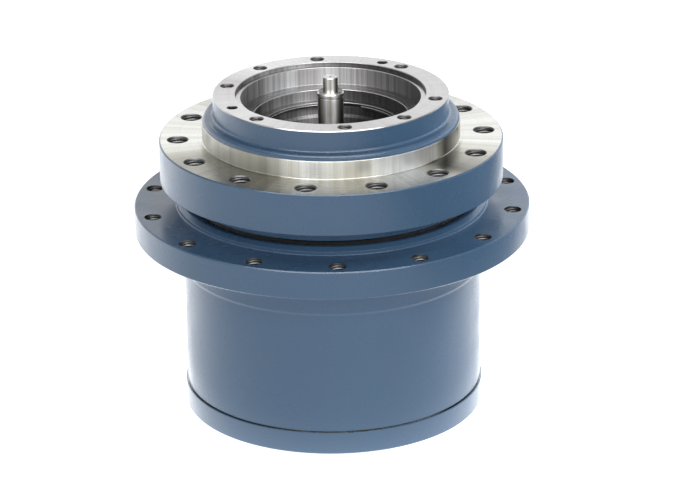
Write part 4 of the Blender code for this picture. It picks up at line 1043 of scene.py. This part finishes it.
def make_bore_ring(scene):
    s = scene.final_drive_spindle
    outer = BORE_RING_HIGH.x
    inner = s.bore_radius - s.ring_overhang
    low, high = BORE_RING_LOW.z, BORE_RING_HIGH.z
    opening, gap = from_front(radians(170)), radians(34)
    corners = [
        (outer, high, 0.0004, 0),
        (outer, low, 0.0004, 0),
        (inner, low, 0.0005, 0),
        (inner, high, 0.0005, 0),
    ]
    mesh = turned_mesh("bore_ring", rounded(corners, 0.0002), 120, 2 * pi - gap, opening + gap / 2)
    ring = new_object("bore_ring", mesh, [finish_named("faced_steel")])
    edges_by_angle(ring)
    ride_on(ring, "spindle", "machined_steel", "bore_retaining_ring")


def finish_carried_nodes():
    """Gives every CAD node the finish of its kind, also where a finished piece will take its place."""
    kinds = (
        ("turned_bronze", ("bush", "thrust_pad")),
        ("black_rubber", ("toric", "o_ring")),
        ("blackened_steel", ("screw", "plug", "lock_nut", "seal_ring")),
        ("polished_steel", ("pin_", "_bearing_")),
        ("ground_steel", ("gear", "carrier")),
        ("turned_steel", ("bore_retaining_ring",)),
        ("shaft_steel", ("input_shaft",)),
        ("sprayed_paint", ("housing", "end_cover")),
    )
    for name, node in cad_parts.items():
        finish = next(f for f, words in kinds if any(w in name for w in words))
        node.data.materials.clear()
        node.data.materials.append(finish_named(finish))


# Stage

# Brightness of the studio, as stops of (position, level). The floor's run outwards in metres, and across
# from 2 m on the left to 2 m on the right. The room's run from straight down to straight up.
FLOOR_OUTWARDS = ((0.17, 0.85), (0.25, 0.5), (1.0, 0.5))
FLOOR_ACROSS = ((0.0, 1.0), (0.62, 0.9), (0.67, 0.1), (1.0, 0.1))
ROOM_UPWARDS = ((0.0, 1.0), (0.71, 1.0), (0.76, 0.12), (1.0, 0.1))
MIRRORED_ROOM_UPWARDS = ((0.71, 1.0), (0.76, 0.12), (0.8, 0.15), (0.9, 0.6))

# The floor lies just under the drive, so that no two faces share a place. Its own light takes its grey
# to white where nothing shades it.
FLOOR_DROP = 0.0002
FLOOR_RADIUS = 9
FLOOR_GREY = 0.8
FLOOR_LIGHT = 0.82

# Point that the lamps face, and the lamps: (name, place, width, height, seen in reflections, lights
# the drive)
DRIVE_MIDDLE = (0, 0, 0.2)
LAMPS = (
    ("front", (0.8, -2.1, 1.6), 1.8, 0.8, True, True),
    ("soft", (0.8, -2.1, 1.6), 1.8, 0.8, False, True),
    ("key", (1.7, 0.9, 1.25), 1.2, 1.0, False, True),
    ("fill", (-1.7, 0.7, 1.25), 1.2, 1.0, False, True),
    ("edge", (0, -0.9, 2.3), 2.6, 1.3, True, False),
)


def make_floor(studio):
    """A matt floor that shows white to the camera, with the drive's shadow. To all other rays it is a
    bright sheet, brightest near the drive, which ends on the right where the studio is dark. From below
    it is clear."""
    material = bpy.data.materials.new("studio_floor")
    material.use_nodes = True
    tree = material.node_tree
    tree.nodes.clear()
    place = object_place(tree)
    parts = feed(tree, "ShaderNodeSeparateXYZ", {"Vector": place})
    reach = feed(tree, "ShaderNodeVectorMath", {0: place}, operation="LENGTH")
    outwards = ramp_of(tree, reach.outputs["Value"], FLOOR_OUTWARDS)
    side = feed(tree, "ShaderNodeMapRange", {"Value": parts.outputs["X"], "From Min": -2, "From Max": 2})
    across = ramp_of(tree, side.outputs[0], FLOOR_ACROSS)
    behind = feed(tree, "ShaderNodeMapRange", {"Value": parts.outputs["Y"], "From Min": -0.2, "From Max": 0.2,
                                               "To Min": 1, "To Max": studio.behind})
    sheet = feed(tree, "ShaderNodeMath", {0: outwards, 1: across}, operation="MULTIPLY")
    level = feed(tree, "ShaderNodeMath", {0: sheet.outputs[0], 1: behind.outputs[0]}, operation="MULTIPLY")
    ray = feed(tree, "ShaderNodeLightPath", {})
    bright = feed(tree, "ShaderNodeMix", {0: ray.outputs["Is Glossy Ray"], 2: studio.floor,
                                          3: 2 * studio.gloss})
    power = feed(tree, "ShaderNodeMath", {0: level.outputs[0], 1: bright.outputs[0]}, operation="MULTIPLY")
    white = (1, 1, 1, 1)
    glow = feed(tree, "ShaderNodeEmission", {"Color": white, "Strength": power.outputs[0]})
    matt = feed(tree, "ShaderNodeBsdfDiffuse", {"Color": (FLOOR_GREY, FLOOR_GREY, FLOOR_GREY, 1)})
    light = feed(tree, "ShaderNodeEmission", {"Color": white, "Strength": FLOOR_LIGHT})
    plain = feed(tree, "ShaderNodeAddShader", {0: matt.outputs[0], 1: light.outputs[0]})
    seen = feed(tree, "ShaderNodeMixShader", {0: ray.outputs["Is Camera Ray"], 1: glow.outputs[0],
                                              2: plain.outputs[0]})
    face = feed(tree, "ShaderNodeNewGeometry", {})
    clear = feed(tree, "ShaderNodeBsdfTransparent", {})
    one_sided = feed(tree, "ShaderNodeMixShader", {0: face.outputs["Backfacing"], 1: seen.outputs[0],
                                                   2: clear.outputs[0]})
    end = tree.nodes.new("ShaderNodeOutputMaterial")
    tree.links.new(one_sided.outputs[0], end.inputs["Surface"])
    disc = bmesh.new()
    bmesh.ops.create_circle(disc, cap_ends=True, segments=96, radius=FLOOR_RADIUS)
    bmesh.ops.translate(disc, verts=disc.verts, vec=(0, 0, -FLOOR_DROP))
    floor = new_object("studio_floor", mesh_of("studio_floor", disc), [material])


def make_room(studio):
    """The studio: white to the camera, with bright walls, stronger on the right, and a dark ceiling for
    the light on the drive. In reflections the ceiling grows bright again towards its middle."""
    world = bpy.data.worlds.new("studio_room")
    bpy.context.scene.world = world
    world.use_nodes = True
    tree = world.node_tree
    tree.nodes.clear()
    heading = feed(tree, "ShaderNodeTexCoord", {}).outputs["Generated"]
    parts = feed(tree, "ShaderNodeSeparateXYZ", {"Vector": heading})
    rise = feed(tree, "ShaderNodeMapRange", {"Value": parts.outputs["Z"], "From Min": -1})
    walls = ramp_of(tree, rise.outputs[0], ROOM_UPWARDS)
    mirrored = ramp_of(tree, rise.outputs[0], MIRRORED_ROOM_UPWARDS)
    ray = feed(tree, "ShaderNodeLightPath", {})
    glossy = feed(tree, "ShaderNodeBackground", {"Color": mirrored, "Strength": studio.gloss})
    side = feed(tree, "ShaderNodeMapRange", {"Value": parts.outputs["X"], "From Min": -1,
                                             "To Min": studio.room * 0.5, "To Max": studio.room * 1.5})
    soft = feed(tree, "ShaderNodeBackground", {"Color": walls, "Strength": side.outputs[0]})
    white = feed(tree, "ShaderNodeBackground", {"Color": (1, 1, 1, 1), "Strength": 1.0})
    light = feed(tree, "ShaderNodeMixShader", {0: ray.outputs["Is Glossy Ray"], 1: soft.outputs[0],
                                               2: glossy.outputs[0]})
    seen = feed(tree, "ShaderNodeMixShader", {0: ray.outputs["Is Camera Ray"], 1: light.outputs[0],
                                              2: white.outputs[0]})
    end = tree.nodes.new("ShaderNodeOutputWorld")
    tree.links.new(seen.outputs[0], end.inputs["Surface"])


def add_lamp(name, power, place, width, height, mirrored, lighting):
    """A soft lamp that faces the drive. It may be only for light, or only for reflections."""
    lamp = bpy.data.lights.new(name, "AREA")
    lamp.shape = "RECTANGLE"
    lamp.size = width
    lamp.size_y = height
    lamp.energy = power
    obj = bpy.data.objects.new(name, lamp)
    bpy.context.scene.collection.objects.link(obj)
    obj.location = place
    aim = Vector(DRIVE_MIDDLE) - Vector(place)
    obj.rotation_mode = "QUATERNION"
    obj.rotation_quaternion = aim.to_track_quat("-Z", "Y")
    obj.visible_glossy = mirrored
    obj.visible_diffuse = lighting


def make_camera(studio):
    camera = bpy.data.cameras.new("photo_camera")
    camera.lens = studio.lens
    camera.sensor_width = 36
    camera.clip_end = 50
    obj = bpy.data.objects.new("photo_camera", camera)
    bpy.context.scene.collection.objects.link(obj)
    back = Vector((0, -cos(studio.elevation), sin(studio.elevation)))
    view = (-back).to_track_quat("-Z", "Y").to_matrix().to_4x4()
    place = Matrix.Translation(Vector(studio.aim) + back * studio.distance)
    obj.matrix_world = place @ view @ Matrix.Rotation(-studio.roll, 4, "Z")
    bpy.context.scene.camera = obj


# Operators and panel

class FINALDRIVE_OT_spindle(Operator):
    """Makes the spindle's housing with its flange, pilot, neck and bore"""

    bl_idname = "final_drive.spindle"
    bl_label = "Spindle"

    def execute(self, context):
        make_spindle(context.scene)
        return {"FINISHED"}


class FINALDRIVE_OT_hub(Operator):
    """Makes the hub's barrel with its sprocket flange and boss"""

    bl_idname = "final_drive.hub"
    bl_label = "Hub"

    def execute(self, context):
        make_hub(context.scene)
        return {"FINISHED"}


class FINALDRIVE_OT_cover(Operator):
    """Makes the end cover with its spigot and counterbores"""

    bl_idname = "final_drive.cover"
    bl_label = "End Cover"

    def execute(self, context):
        make_cover(context.scene)
        return {"FINISHED"}


class FINALDRIVE_OT_cover_fittings(Operator):
    """Makes the end cover's screws, oil plugs and O-ring"""

    bl_idname = "final_drive.cover_fittings"
    bl_label = "Cover Fittings"

    def execute(self, context):
        make_cover_fittings(context.scene)
        return {"FINISHED"}


class FINALDRIVE_OT_threads(Operator):
    """Cuts the threads of all tapped holes"""

    bl_idname = "final_drive.threads"
    bl_label = "Threads"

    def execute(self, context):
        make_threads(context.scene)
        return {"FINISHED"}


class FINALDRIVE_OT_input_shaft(Operator):
    """Makes the input shaft with its stub, collar and sun gear"""

    bl_idname = "final_drive.input_shaft"
    bl_label = "Input Shaft"

    def execute(self, context):
        make_input_shaft(context.scene)
        return {"FINISHED"}


class FINALDRIVE_OT_bore_ring(Operator):
    """Makes the open retaining ring in the motor bore"""

    bl_idname = "final_drive.bore_ring"
    bl_label = "Bore Ring"

    def execute(self, context):
        make_bore_ring(context.scene)
        return {"FINISHED"}


class FINALDRIVE_OT_carried_nodes(Operator):
    """Gives the gears, bearings, pins and seals their finishes"""

    bl_idname = "final_drive.carried_nodes"
    bl_label = "Inner Pieces"

    def execute(self, context):
        finish_carried_nodes()
        return {"FINISHED"}


class FINALDRIVE_OT_stage(Operator):
    """Makes the floor, the lights and the camera"""

    bl_idname = "final_drive.stage"
    bl_label = "Stage"

    def execute(self, context):
        studio = context.scene.final_drive_studio
        make_floor(studio)
        make_room(studio)
        for name, *settings in LAMPS:
            add_lamp(f"{name}_lamp", getattr(studio, name), *settings)
        make_camera(studio)
        return {"FINISHED"}


class FINALDRIVE_PT_panel(Panel):
    """Lists the drive's pieces and the values that shape them"""

    bl_label = "Final Drive"
    bl_idname = "FINALDRIVE_PT_panel"
    bl_space_type = "VIEW_3D"
    bl_region_type = "UI"
    bl_category = "Final Drive"

    def draw(self, context):
        for operator in OPERATORS:
            self.layout.operator(operator.bl_idname)
        for name, group in GROUPS.items():
            box = self.layout.box()
            box.label(text=group.__name__.removeprefix("FinalDrive"))
            values = getattr(context.scene, name)
            for value in group.__annotations__:
                box.prop(values, value)


GROUPS = {
    "final_drive_spindle": FinalDriveSpindleSizes,
    "final_drive_hub": FinalDriveHubSizes,
    "final_drive_shaft": FinalDriveShaftSizes,
    "final_drive_finish": FinalDriveFinish,
    "final_drive_studio": FinalDriveStudio,
}
OPERATORS = (
    FINALDRIVE_OT_carried_nodes,
    FINALDRIVE_OT_spindle,
    FINALDRIVE_OT_hub,
    FINALDRIVE_OT_cover,
    FINALDRIVE_OT_cover_fittings,
    FINALDRIVE_OT_threads,
    FINALDRIVE_OT_input_shaft,
    FINALDRIVE_OT_bore_ring,
    FINALDRIVE_OT_stage,
)


def register():
    for group in GROUPS.values():
        bpy.utils.register_class(group)
    for name, group in GROUPS.items():
        setattr(bpy.types.Scene, name, PointerProperty(type=group))
    for operator in OPERATORS:
        bpy.utils.register_class(operator)
    bpy.utils.register_class(FINALDRIVE_PT_panel)


def unregister():
    bpy.utils.unregister_class(FINALDRIVE_PT_panel)
    for operator in reversed(OPERATORS):
        bpy.utils.unregister_class(operator)
    for name, group in GROUPS.items():
        delattr(bpy.types.Scene, name)
        bpy.utils.unregister_class(group)


def main():
    register()
    bpy.context.scene.view_settings.view_transform = "Standard"
    for operator in OPERATORS:
        getattr(bpy.ops.final_drive, operator.bl_idname.split(".")[1])()


if __name__ == "__main__":
    main()
